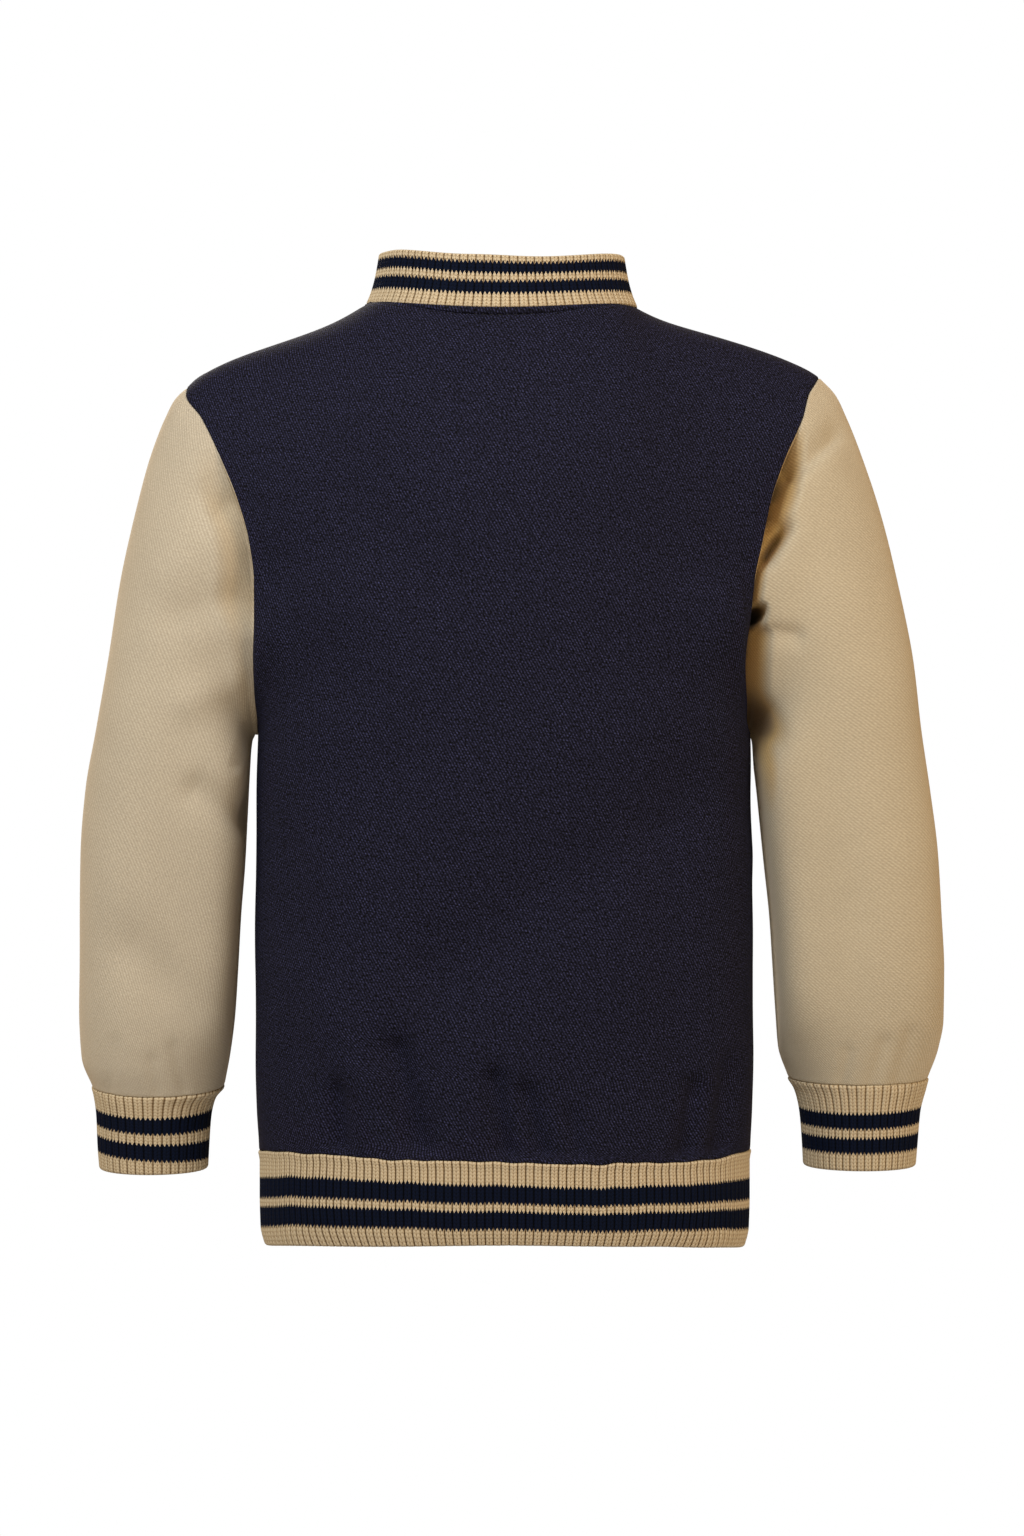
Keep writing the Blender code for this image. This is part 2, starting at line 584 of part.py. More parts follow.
def build():
    for old in list(bpy.data.objects):
        bpy.data.objects.remove(old)
    grids = {
        "back": back(),
        "front_left": front("left"),
        "front_right": front("right"),
        "sleeve_left": sleeve("left"),
        "sleeve_right": sleeve("right"),
        "cuff_left": cuff("left"),
        "cuff_right": cuff("right"),
    }
    grids["collar"] = collar(grids)
    grids["hem_rib"] = hem_rib(grids)
    closed = {name: name.startswith(("sleeve", "cuff")) for name in grids}
    walls = {name: normals(points, closed[name]) for name, points in grids.items()}
    seams = shared_normals(grids, walls)
    materials = {name: new_material(name) for name in COLOURS}
    for name, points in grids.items():
        inset = seam_inset(points, walls[name], seams[name], closed[name])
        if name.startswith(("back", "front")):
            add_wall(name, inset, walls[name], TWILL, closed[name], materials["navy twill"])
        elif name.startswith("sleeve"):
            add_wall(name, inset, walls[name], TWILL, closed[name], materials["sand twill"])
        else:
            add_wall(name, inset, walls[name], RIB, closed[name], materials["rib knit"])
    for k, height in enumerate(np.linspace(FIRST_SNAP_Z, LAST_SNAP_Z, FRONT_SNAPS)):
        place, outwards = on_front(grids["front_left"], height, TWILL)
        add_snap(f"snap_{k + 1}", place, outwards, materials["painted snap"])
    place, outwards = on_front(grids["hem_rib"], HEM_Z - HEM_HEIGHT["front"] / 2, RIB)
    add_snap(f"snap_{FRONT_SNAPS + 1}", place, outwards, materials["painted snap"])


build()
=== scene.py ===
import math

import bpy
import numpy as np
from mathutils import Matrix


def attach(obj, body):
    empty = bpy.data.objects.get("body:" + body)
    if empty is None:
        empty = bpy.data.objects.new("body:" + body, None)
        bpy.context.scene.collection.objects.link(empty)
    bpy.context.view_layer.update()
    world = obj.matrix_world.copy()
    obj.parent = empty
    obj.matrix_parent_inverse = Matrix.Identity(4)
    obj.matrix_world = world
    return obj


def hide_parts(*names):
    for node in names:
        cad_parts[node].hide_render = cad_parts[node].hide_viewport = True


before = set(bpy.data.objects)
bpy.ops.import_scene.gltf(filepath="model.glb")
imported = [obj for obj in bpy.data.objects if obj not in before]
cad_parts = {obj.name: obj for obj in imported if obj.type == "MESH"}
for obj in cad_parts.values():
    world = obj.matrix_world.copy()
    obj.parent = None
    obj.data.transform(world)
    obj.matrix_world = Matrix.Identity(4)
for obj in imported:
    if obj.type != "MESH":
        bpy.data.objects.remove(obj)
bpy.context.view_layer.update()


# The camera stands behind the jacket, level with its middle, with a long lens that keeps its sides upright.
lens = bpy.data.cameras.new("camera")
lens.sensor_fit = "VERTICAL"
lens.sensor_height = 36
lens.lens = 81.52
camera = bpy.data.objects.new("camera", lens)
camera.location = (-0.0037, 1.6, -0.2134)
camera.rotation_euler = (math.pi / 2, 0, math.pi)
bpy.context.scene.collection.objects.link(camera)
bpy.context.scene.camera = camera
bpy.context.scene.view_settings.view_transform = "Standard"


# A photographer's white room: an even white surround, one large soft light high behind the jacket's back, a
# weaker one for its front, and a pale matt floor well below it.
def linear(colour):
    """An sRGB hex colour as linear red, green, blue and alpha."""
    part = np.array([int(colour[i : i + 2], 16) for i in (1, 3, 5)]) / 255
    part = np.where(part <= 0.04045, part / 12.92, ((part + 0.055) / 1.055) ** 2.4)
    return (*part.tolist(), 1.0)


def add_node(tree, kind, values=None, links=None, **settings):
    """A node of this kind, with its settings, and its sockets' values and links from other outputs."""
    made = tree.nodes.new("ShaderNode" + kind)
    for name, value in settings.items():
        setattr(made, name, value)
    for socket, value in (values or {}).items():
        made.inputs[socket].default_value = value
    for socket, source in (links or {}).items():
        tree.links.new(source, made.inputs[socket])
    return made


def add_light(name, place, towards, size, power, colour):
    light = bpy.data.lights.new(name, "AREA")
    light.shape = "DISK"
    light.size = size
    light.energy = power
    light.color = linear(colour)[:3]
    lamp = bpy.data.objects.new(name, light)
    lamp.location = place
    away = np.array(place) - towards
    across = math.hypot(away[0], away[1])
    lamp.rotation_euler = (math.atan2(across, away[2]), 0, math.atan2(away[0], -away[1]))
    bpy.context.scene.collection.objects.link(lamp)


room = bpy.data.worlds.new("white_room")
room.use_nodes = True
bpy.context.scene.world = room
seen = add_node(room.node_tree, "LightPath")
wall = add_node(
    room.node_tree,
    "Mix",
    {6: linear("#ad8850"), 7: (1, 1, 1, 1)},
    {0: seen.outputs["Is Camera Ray"]},
    data_type="RGBA",
)
room.node_tree.links.new(wall.outputs[2], room.node_tree.nodes["Background"].inputs["Color"])
add_light("key", (0.50, 1.15, 1.06), (0, 0, -0.06), 0.7, 22, "#eef4ff")
add_light("fill_right", (-1.15, 1.05, 0.22), (0, 0, -0.15), 1.0, 13, "#ffe8d0")
add_light("fill_left", (1.30, 0.66, 0.32), (0, 0, -0.15), 1.0, 7.5, "#f6f1e8")
add_light("wide", (-0.10, 2.15, 0.62), (0, 0, -0.10), 2.2, 13, "#f5f7fc")
add_light("front", (0.40, -1.60, 0.80), (0, 0, -0.20), 1.2, 26, "#fffaf2")

turn = np.linspace(0, 2 * math.pi, 96, endpoint=False)
disc = bpy.data.meshes.new("floor")
rim = np.stack([1.0 * np.cos(turn), 1.0 * np.sin(turn), 0 * turn - 0.92], -1)
disc.from_pydata(rim.tolist(), [], [list(range(96))])
floor = bpy.data.objects.new("floor", disc)
bpy.context.scene.collection.objects.link(floor)
paint = bpy.data.materials.new("matt_white_paint")
paint.use_nodes = True
paint.node_tree.nodes["Principled BSDF"].inputs["Base Color"].default_value = linear("#bcc8dc")
paint.node_tree.nodes["Principled BSDF"].inputs["Roughness"].default_value = 0.9
disc.materials.append(paint)


# The back panel: one piece of heavy navy cotton twill, cut whole from the neckline to the hem band and from
# one armhole to the other. Here it is filled out as on the body, with soft drag lines and small gathers.
def smooth(x):
    """0 below 0, 1 above 1, and x*x*(3 - 2x) between."""
    x = np.clip(x, 0, 1)
    return x * x * (3 - 2 * x)


def mix(a, b, share):
    return a + (b - a) * share


def table(columns, *rows):
    """A dictionary of named columns."""
    return dict(zip(columns.split(), np.array(rows, float).T))


def read(columns, name, along, at):
    """Column name as a smooth curve over column along: cubic Hermite pieces whose slopes don't overshoot."""
    x, y = columns[along], columns[name]
    steps = np.diff(y) / np.diff(x)
    same_way = steps[1:] * steps[:-1] > 0
    inner = np.where(same_way, 2 * steps[1:] * steps[:-1] / np.where(same_way, steps[1:] + steps[:-1], 1), 0)
    slopes = np.concatenate([steps[:1], inner, steps[-1:]])
    at = np.clip(at, x[0], x[-1])
    k = np.clip(np.searchsorted(x, at, side="right") - 1, 0, len(x) - 2)
    width = x[k + 1] - x[k]
    t = (at - x[k]) / width
    start = (1 + 2 * t) * (1 - t) ** 2 * y[k] + t * (1 - t) ** 2 * width * slopes[k]
    end = t * t * (3 - 2 * t) * y[k + 1] - t * t * (1 - t) * width * slopes[k + 1]
    return start + end


HEM_Z, UNDERARM_Z = -0.3896, -0.1975
TIP = {"left": (0.1450, -0.0393), "right": (0.1447, -0.0346)}
NECK = {"left": (0.0622, -0.0003), "right": (0.0602, -0.0034)}
NECK_SHARE = 0.45
ROUNDNESS = 2.3
TORSO = table(
    "z left right back front",
    (-0.3900, 0.1115, 0.1122, 0.0700, 0.0735),
    (-0.3700, 0.1127, 0.1132, 0.0726, 0.0765),
    (-0.3400, 0.1131, 0.1136, 0.0752, 0.0793),
    (-0.3000, 0.1133, 0.1136, 0.0774, 0.0815),
    (-0.2500, 0.1130, 0.1118, 0.0792, 0.0832),
    (-0.2200, 0.1124, 0.1106, 0.0802, 0.0830),
    (-0.1975, 0.1121, 0.1106, 0.0808, 0.0825),
    (-0.1650, 0.1120, 0.1078, 0.0810, 0.0810),
    (-0.1470, 0.1112, 0.1098, 0.0806, 0.0795),
    (-0.1290, 0.1117, 0.1122, 0.0795, 0.0770),
    (-0.1110, 0.1141, 0.1160, 0.0775, 0.0735),
    (-0.0930, 0.1193, 0.1199, 0.0745, 0.0690),
    (-0.0750, 0.1268, 0.1262, 0.0700, 0.0635),
    (-0.0550, 0.1368, 0.1351, 0.0640, 0.0570),
    (-0.0440, 0.1446, 0.1384, 0.0600, 0.0535),
    (-0.0390, 0.1450, 0.1415, 0.0580, 0.0520),
    (-0.0340, 0.1460, 0.1447, 0.0560, 0.0500),
)
SHOULDER = table(
    "run left right",
    (0.00, 0.000, 0.000),
    (0.05, 0.097, 0.090),
    (0.14, 0.202, 0.192),
    (0.28, 0.325, 0.293),
    (0.43, 0.437, 0.398),
    (0.59, 0.556, 0.519),
    (0.75, 0.676, 0.662),
    (0.87, 0.798, 0.796),
    (0.96, 0.897, 0.915),
    (1.00, 1.000, 1.000),
)


HEM_SEAM = table(
    "x rise",
    (-0.1125, 0.0018), (-0.1075, 0.0010), (-0.0987, -0.0008), (-0.0883, -0.0019), (-0.0703, -0.0021),
    (-0.0600, -0.0014), (-0.0520, -0.0014), (-0.0433, -0.0019), (-0.0222, -0.0013), (0.0017, -0.0004),
    (0.0250, 0.0001), (0.0467, 0.0), (0.0737, 0.0012), (0.0917, 0.0013), (0.1060, 0.0018), (0.1125, 0.0008),
)


def hem_rise(x):
    """How far the hem's seam lies above its even line at x, with ripples 0.3 mm high and 15 mm long."""
    return read(HEM_SEAM, "rise", "x", x) + 0.0003 * np.sin(x * 410) * np.cos(x * 67)


def torso(u, v, face):
    """The torso's surface at columns u and rows v. u runs from -1 at the right edge to 1 at the left one,
    and v from -1 at the hem to 0 at the underarm and 1 at the shoulder. Rows are superellipses below the
    underarm and flatten above it, and the last 80 mm of height round over to the shoulder seam along a
    quarter circle."""
    u, v = np.broadcast_arrays(np.asarray(u, float), np.asarray(v, float))
    away, left = abs(u), (1 + u) / 2
    tip_x = np.where(u >= 0, TIP["left"][0], TIP["right"][0])
    tip_z = mix(TIP["right"][1], TIP["left"][1], left)
    neck_x = np.where(u >= 0, NECK["left"][0], NECK["right"][0])
    neck_z = mix(NECK["right"][1], NECK["left"][1], left)
    centre_y, centre_z = (0.0495, -0.0083) if face == "back" else (0.0470, -0.0460)

    on_neck = np.clip(away / NECK_SHARE, 0, 1) * math.pi / 2
    out = np.clip((away - NECK_SHARE) / (1 - NECK_SHARE), 0, 1)
    scoop = np.cos(on_neck) ** (2 if face == "back" else 1.3)
    top_x = np.where(away < NECK_SHARE, neck_x * np.sin(on_neck), mix(neck_x, tip_x, out))
    top_y = np.where(away < NECK_SHARE, centre_y * np.cos(on_neck), 0)
    slope = mix(read(SHOULDER, "right", "run", out), read(SHOULDER, "left", "run", out), u > 0)
    top_z = np.where(away < NECK_SHARE, mix(neck_z, centre_z, scoop), mix(neck_z, tip_z, slope))

    climb = np.where(v > 0, (1 - np.cos(math.pi * np.clip(v, 0, 1))) / 2, 0)
    height = np.where(v > 0, mix(UNDERARM_Z, tip_z, climb), mix(UNDERARM_Z, HEM_Z, -np.clip(v, -1, 0)))
    edge = np.where(u >= 0, read(TORSO, "left", "z", height), read(TORSO, "right", "z", height))
    arm = np.sin(math.pi * np.clip(v, 0, 1))
    edge = np.where(v >= 1, tip_x, edge) - (0.0040 * arm**2 if face == "front" else 0)
    arm_y = arm * (0.0440 if face == "back" else 0.0420)

    round_x = np.sin(away * math.pi / 2) ** (2 / ROUNDNESS)
    across = mix(round_x, top_x / tip_x, smooth(climb))
    round_y = np.clip(1 - across**ROUNDNESS, 0, 1) ** (1 / ROUNDNESS)
    crown = mix(round_y, 1 - across**2, smooth(climb / 0.45))
    over = np.sqrt(1 - (1 - np.clip((tip_z - height) / 0.0800, 0, 1)) ** 2)
    bell = centre_y * np.clip(1 - (away / 0.9) ** 2, 0, 1) ** 2
    bow = read(TORSO, face, "z", height) * over * crown
    rounded = (bow**4 + (arm_y * across) ** 4) ** 0.25
    y = mix(rounded, bow + arm_y * across**2.2, smooth(climb / 0.35))
    y = y + mix(top_y, bell, over) * (1 - over)
    z = height + (top_z - tip_z) * climb
    if face == "back":
        z = z + 0.0032 * (1 - across**10) * smooth(-v) ** 2
    x = np.sign(u) * edge * across
    z = z + hem_rise(x) * smooth((-v - 0.6) / 0.4)
    return np.stack([x, y if face == "back" else -y, z], -1)


def normals(points, closed=False):
    """Unit normals of a grid, and 1 or -1: whether across times along already points away from the hollow."""
    ring = np.concatenate([points[:, -1:], points, points[:, :1]], axis=1) if closed else points
    across = np.gradient(ring, axis=1)[:, 1:-1] if closed else np.gradient(points, axis=1)
    n = np.cross(across, np.gradient(points, axis=0))
    n /= np.maximum(np.linalg.norm(n, axis=-1, keepdims=True), 1e-12)
    away = points - (points.mean(axis=1, keepdims=True) if closed else np.array([0, 0, 1]) * points)
    way = 1 if (n * away).sum() > 0 else -1
    return n * way, way


def arc_lengths(points, axis):
    """The length along the grid's lines from their start to each point."""
    steps = np.linalg.norm(np.diff(points, axis=axis), axis=-1)
    start = np.zeros_like(np.take(steps, [0], axis=axis))
    return np.concatenate([start, np.cumsum(steps, axis=axis)], axis=axis)


def troughs(points, off, face, folds, steep=False):
    """How deep each point lies below the plain surface: the sum of depth * exp(-(gap/width)^2) over the
    folds of this face, each about a line from x1, z1 to x2, z2, with its gap taken in the upright plane. A
    fold fades within clear of the piece's edges, from which the points are off away. A ridge has a negative
    depth. Steep folds have straight sides and don't add up: the deepest holds, each
    depth * 1.1 s*s/(s + 0.1), where s is 1 - gap/width and not below 0."""
    depth = np.zeros(points.shape[:-1])
    for on, x1, z1, x2, z2, width, deep, clear in folds:
        if on != face:
            continue
        run = np.array([x2 - x1, z2 - z1])
        start = np.stack([points[..., 0] - x1, points[..., 2] - z1], -1)
        share = np.clip(start @ run / (run @ run), 0, 1)
        gap = np.linalg.norm(start - share[..., None] * run, axis=-1)
        fade = deep * smooth(off / clear)
        if steep:
            side = np.clip(1 - gap / width, 0, 1)
            depth = np.maximum(depth, 1.1 * side**2 / (side + 0.1) * fade)
        else:
            depth += np.exp(-((gap / width) ** 2)) * fade
    return depth


def grid_faces(rows, columns, closed=False):
    """The row and the column of each corner of a grid's quads. Where the grid closes on itself, the columns
    run on past the last."""
    i, j = np.meshgrid(np.arange(rows - 1), np.arange(columns if closed else columns - 1), indexing="ij")
    row = np.stack([i, i, i + 1, i + 1], -1).reshape(-1, 4)
    column = np.stack([j, j + 1, j + 1, j], -1).reshape(-1, 4)
    return row, column


def add_mesh(name, points, faces, uv, material):
    """An object at the origin from points, quads and one UV pair for each corner of each quad."""
    mesh = bpy.data.meshes.new(name)
    mesh.from_pydata(points.tolist(), [], faces.tolist())
    mesh.uv_layers.new(name="cloth").data.foreach_set("uv", np.ascontiguousarray(uv, np.float32).ravel())
    mesh.shade_smooth()
    mesh.materials.append(material)
    piece = bpy.data.objects.new(name, mesh)
    bpy.context.scene.collection.objects.link(piece)
    return piece


def belongs(piece, node):
    """Put the piece on the jacket's one body, in place of this solid, which is hidden."""
    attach(piece, "root")
    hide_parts(node)


TWILL = 0.0016  # thickness of the cloth
LIP = 0.0011  # how far from an edge the turned cloth starts to thin
TWILL_LINE, TWILL_FLOAT = 0.0012, 0.0011  # from one drawn line to the next, and from float to float along it


def add_twill(name, points, uv, closed, material, flat=(1, 1, 1), painted_shade_share=None):
    """A wall of twill about a grid of points. Its half thickness falls to nothing over the last LIP of each
    edge, along a quarter ellipse, so the two skins meet in a turned edge and a seam is a fine groove. The way
    down from an edge is measured on points * flat. Each point keeps its share of painted shade, with which
    the material darkens and browns the colour there."""
    rows, columns = points.shape[:2]
    down = arc_lengths(points * flat, 0)
    edge = np.minimum(down, down[-1:] - down)
    if not closed:
        along = arc_lengths(points, 1)
        edge = np.minimum(edge, np.minimum(along, along[:, -1:] - along))
    half = TWILL / 2 * np.sqrt(1 - (1 - np.clip(edge / LIP, 0, 1)) ** 2)[..., None]
    n, way = normals(points, closed)
    rim = np.zeros((rows, columns), bool)
    rim[[0, -1]] = True
    if not closed:
        rim[:, [0, -1]] = True
    outer = np.arange(rows * columns).reshape(rows, columns)
    inner = np.where(rim, outer, rows * columns - 1 + np.cumsum(~rim).reshape(rows, columns))
    skins = np.concatenate([(points + n * half).reshape(-1, 3), (points - n * half)[~rim]])
    row, column = grid_faces(rows, columns, closed)
    faces = np.concatenate([outer[row, column % columns], inner[row, column % columns][:, ::-1]])
    corner_uv = uv[row, column]
    corner_uv = np.concatenate([corner_uv, corner_uv[:, ::-1]])
    if way < 0:
        faces, corner_uv = faces[:, ::-1], corner_uv[:, ::-1]
    piece = add_mesh(name, skins, faces, corner_uv, material)
    if painted_shade_share is not None:
        share = np.concatenate([painted_shade_share.ravel(), painted_shade_share[~rim]]).astype(np.float32)
        piece.data.attributes.new("painted_shade_share", "FLOAT", "POINT").data.foreach_set("value", share)
    return piece


def twill(name, groove, yarn, light, slope, contrast, speckle, fuzz, painted_shades=None):
    """Cotton twill: fine raised lines that lean by slope degrees, each a row of short slanted floats of yarn.
    The real lines are about 0.8 mm apart, and are drawn 1.2 mm apart so that they show. The cloth is matt,
    cloudy from washing, and flecked where its spun yarn is thick and thin: by up to speckle either way. Its
    fuzz, given by weight and colour, catches light at a glancing angle. Where the sleeve tucks in beside a
    seam, its colour is multiplied by painted shade: by the first of its painted shades where half tucked in,
    and by the second where wholly tucked in."""
    material = bpy.data.materials.new(name)
    material.use_nodes = True
    tree = material.node_tree
    shader = tree.nodes["Principled BSDF"]
    where = add_node(tree, "UVMap", uv_map="cloth").outputs[0]
    wander = add_node(tree, "TexNoise", {"Scale": 120, "Detail": 2}, {"Vector": where})
    strayed = add_node(
        tree, "VectorMath", {1: (0.5, 0.5, 0.5)}, {0: wander.outputs["Color"]}, operation="SUBTRACT"
    )
    shift = add_node(tree, "VectorMath", {"Scale": 0.0004}, {0: strayed.outputs[0]}, operation="SCALE")
    moved = add_node(tree, "VectorMath", None, {0: where, 1: shift.outputs[0]}, operation="ADD").outputs[0]
    lean = (0, 0, math.radians(slope - 90))
    turned = add_node(tree, "Mapping", {"Rotation": lean}, {"Vector": moved}).outputs[0]
    line_scale, float_scale = math.pi / 10 / TWILL_LINE, math.pi / 10 / TWILL_FLOAT
    lines = add_node(tree, "TexWave", {"Scale": line_scale}, {"Vector": turned}, bands_direction="X")
    line = lines.outputs["Fac"]
    level = add_node(tree, "Mapping", {"Rotation": (0, 0, math.radians(12))}, {"Vector": moved}).outputs[0]
    floats = add_node(tree, "TexWave", {"Scale": float_scale}, {"Vector": level}, bands_direction="Y")
    weave = add_node(tree, "Math", {2: 0.0}, {0: line, 1: floats.outputs["Fac"]}, operation="MULTIPLY")
    raised = add_node(tree, "Mix", {0: 0.45}, {2: line, 3: weave.outputs[0]}, data_type="FLOAT").outputs[0]
    fibre = add_node(tree, "TexNoise", {"Scale": 900, "Detail": 3}, {"Vector": where})
    cloud = add_node(tree, "TexNoise", {"Scale": 22, "Detail": 4, "Roughness": 0.6}, {"Vector": where})
    fleck = add_node(tree, "Mix", {0: 0.35}, {2: raised, 3: fibre.outputs["Fac"]}, data_type="FLOAT")
    around_half = {1: 0.0, 2: 1.0, 3: 0.5 - contrast / 2, 4: 0.5 + contrast / 2}
    contrasted = add_node(tree, "MapRange", around_half, {0: fleck.outputs[0]})
    colour = add_node(tree, "ValToRGB", None, {0: contrasted.outputs[0]})
    stops = colour.color_ramp.elements
    stops[0].color = linear(groove)
    stops[1].color = linear(light)
    stops.new(0.5).color = linear(yarn)
    patch = add_node(tree, "MapRange", {1: 0.3, 2: 0.7, 3: 0.96, 4: 1.04}, {0: cloud.outputs["Fac"]})
    slub = add_node(tree, "TexNoise", {"Scale": 1000, "Detail": 1}, {"Vector": where})
    by_yarn = {1: 0.3, 2: 0.7, 3: max(0.05, 1 - speckle), 4: 1 + speckle}
    thick = add_node(tree, "MapRange", by_yarn, {0: slub.outputs["Fac"]})
    worn = add_node(tree, "TexNoise", {"Scale": 170, "Detail": 2}, {"Vector": where})
    by_wear = {1: 0.3, 2: 0.7, 3: 1 - speckle / 9, 4: 1 + speckle / 9}
    rubbed = add_node(tree, "MapRange", by_wear, {0: worn.outputs["Fac"]})
    flecked = add_node(tree, "Math", None, {0: thick.outputs[0], 1: rubbed.outputs[0]}, operation="MULTIPLY")
    shade = add_node(tree, "Math", None, {0: patch.outputs[0], 1: flecked.outputs[0]}, operation="MULTIPLY")
    tint = add_node(tree, "CombineXYZ", None, {k: shade.outputs[0] for k in range(3)})
    dyed = {0: colour.outputs[0], 1: tint.outputs[0]}
    cloth = add_node(tree, "VectorMath", None, dyed, operation="MULTIPLY")
    bump = add_node(tree, "Bump", {"Strength": 0.55, "Distance": 0.00022}, {"Height": fleck.outputs[0]})
    # Painted shade: the colour is browned and darkened where the sleeve tucks in, by the point attribute.
    if painted_shades:
        painted_shade_share = add_node(tree, "Attribute", attribute_name="painted_shade_share").outputs["Fac"]
        half = add_node(tree, "MapRange", {1: 0.0, 2: 0.5}, {0: painted_shade_share})
        whole = add_node(tree, "MapRange", {1: 0.5, 2: 1.0}, {0: painted_shade_share})
        brown = add_node(tree, "Mix", {6: (1, 1, 1, 1), 7: painted_shades[0]}, {0: half.outputs[0]}, data_type="RGBA")
        deeper = {0: whole.outputs[0], 6: brown.outputs[2]}
        painted_dark_shade = add_node(tree, "Mix", {7: painted_shades[1]}, deeper, data_type="RGBA")
        shaded = {0: cloth.outputs[0], 1: painted_dark_shade.outputs[2]}
        cloth = add_node(tree, "VectorMath", None, shaded, operation="MULTIPLY")
    tree.links.new(cloth.outputs[0], shader.inputs["Base Color"])
    tree.links.new(bump.outputs[0], shader.inputs["Normal"])
    shader.inputs["Roughness"].default_value = 0.88
    shader.inputs["Specular IOR Level"].default_value = 0.10
    shader.inputs["Sheen Weight"].default_value = fuzz[0]
    shader.inputs["Sheen Roughness"].default_value = 0.55
    shader.inputs["Sheen Tint"].default_value = linear(fuzz[1])
    return material


BODY_FOLDS = [
    # Face, x1, z1, x2, z2, width, depth and clear: drag lines from the armholes, and gathers over the hem.
    ("back", 0.1080, -0.1300, 0.0700, -0.1750, 0.016, 0.0016, 0.012),
    ("back", -0.1060, -0.1280, -0.0660, -0.1650, 0.016, 0.0004, 0.012),
    ("back", -0.0980, -0.0900, -0.0500, -0.1050, 0.018, 0.0008, 0.012),
    ("back", 0.0700, -0.0900, 0.0300, -0.1300, 0.015, 0.0012, 0.012),
    ("back", 0.0950, -0.2500, 0.0900, -0.3400, 0.012, 0.0015, 0.012),
    ("back", -0.0720, -0.2450, -0.0780, -0.3500, 0.013, 0.0017, 0.012),
    ("back", 0.0300, -0.2900, 0.0350, -0.3700, 0.014, 0.0014, 0.012),
    ("back", -0.0800, -0.2280, 0.0280, -0.3040, 0.020, 0.0044, 0.012),
    ("back", 0.0900, -0.3050, 0.0640, -0.3500, 0.014, -0.0026, 0.012),
    ("back", -0.0980, -0.1350, -0.1010, -0.2500, 0.016, -0.0028, 0.012),
    ("back", 0.0730, -0.3560, 0.0720, -0.3860, 0.005, 0.0046, 0.005),
    ("back", 0.0480, -0.3380, 0.0360, -0.3860, 0.007, 0.0060, 0.006),
    ("back", 0.0040, -0.3500, -0.0020, -0.3860, 0.005, 0.0058, 0.005),
    ("back", -0.0100, -0.3560, -0.0180, -0.3860, 0.005, 0.0048, 0.005),
    ("back", -0.0300, -0.3660, -0.0330, -0.3860, 0.004, 0.0026, 0.005),
    ("back", -0.0860, -0.3560, -0.0800, -0.3860, 0.005, 0.0042, 0.005),
    ("back", -0.1010, -0.3480, -0.0960, -0.3860, 0.005, 0.0042, 0.005),
    ("front", 0.1020, -0.1350, 0.0620, -0.1800, 0.016, 0.0013, 0.012),
    ("front", -0.1040, -0.1400, -0.0600, -0.1900, 0.016, 0.0013, 0.012),
    ("front", 0.0850, -0.2400, 0.0800, -0.3450, 0.014, 0.0011, 0.012),
    ("front", -0.0800, -0.2500, -0.0860, -0.3500, 0.014, 0.0012, 0.012),
    ("front", 0.0440, -0.3520, 0.0420, -0.3860, 0.006, 0.0011, 0.012),
    ("front", -0.0500, -0.3550, -0.0520, -0.3860, 0.006, 0.0011, 0.012),
    ("front", 0.0700, -0.3580, 0.0700, -0.3860, 0.006, 0.0009, 0.012),
]


SHOULDER_Z, SHOULDER_BLEND = -0.0900, 0.0300  # where the smoothing below the shoulders starts, and its blend
SPREAD_ROUNDS, SPREAD = 30, 0.9  # how often the cloth is smoothed, and how far towards its neighbours' middle
NECK_STITCH = 0.0040  # from the neckline to its topstitching
NECK_X = 0.0600  # half the width of the neckline's topstitching


def settle(points, face):
    """The panel with its folds pressed in along its normals, and fading at every edge so that seams stay put.
    From SHOULDER_Z up it is first smoothed from side to side, as the cloth spreads the turn beside the
    collar. Along the neckline's topstitching the cloth is pulled in by 2 mm."""
    down, along = arc_lengths(points, 0), arc_lengths(points, 1)
    edge = np.minimum(np.minimum(down, down[-1:] - down), np.minimum(along, along[:, -1:] - along))
    high = smooth((points[..., 2] - SHOULDER_Z) / SHOULDER_BLEND)
    soft = (smooth(edge / 0.008) * high)[:, 1:-1, None]
    points = points.copy()
    for _ in range(SPREAD_ROUNDS):
        points[:, 1:-1] += soft * ((points[:, 2:] + points[:, :-2]) / 2 - points[:, 1:-1]) * SPREAD
    wave = 0.0005 * np.sin(points[..., 0] * 71 + 1.3) * np.sin(points[..., 2] * 39 + points[..., 0] * 17)
    wave += 0.0003 * np.sin(points[..., 2] * 96 + points[..., 0] * 58 + 0.4)
    n, _ = normals(points)
    pulled = 0.0020 * np.exp(-(((down[-1:] - down - NECK_STITCH) / 0.0011) ** 2))
    pulled = pulled * (abs(points[-1:, :, 0]) < NECK_X)
    depth = troughs(points, edge, face, BODY_FOLDS) + wave * smooth(edge / 0.012) + pulled
    return points - n * depth[..., None]


def panel_uv(points, way):
    """Metres across the panel from its middle column, to the right as seen from outside, and metres up the
    middle column to the same height, so that the twill's lines run straight across the panel."""
    half = points.shape[1] // 2
    along = arc_lengths(points, 1)
    z, up = np.maximum.accumulate(points[:, half, 2]), arc_lengths(points, 0)[:, half]
    level = np.interp(points[..., 2], z, up) + points[..., 2] - np.clip(points[..., 2], z[0], z[-1])
    return np.stack([(along - along[:, half : half + 1]) * way, level], -1)


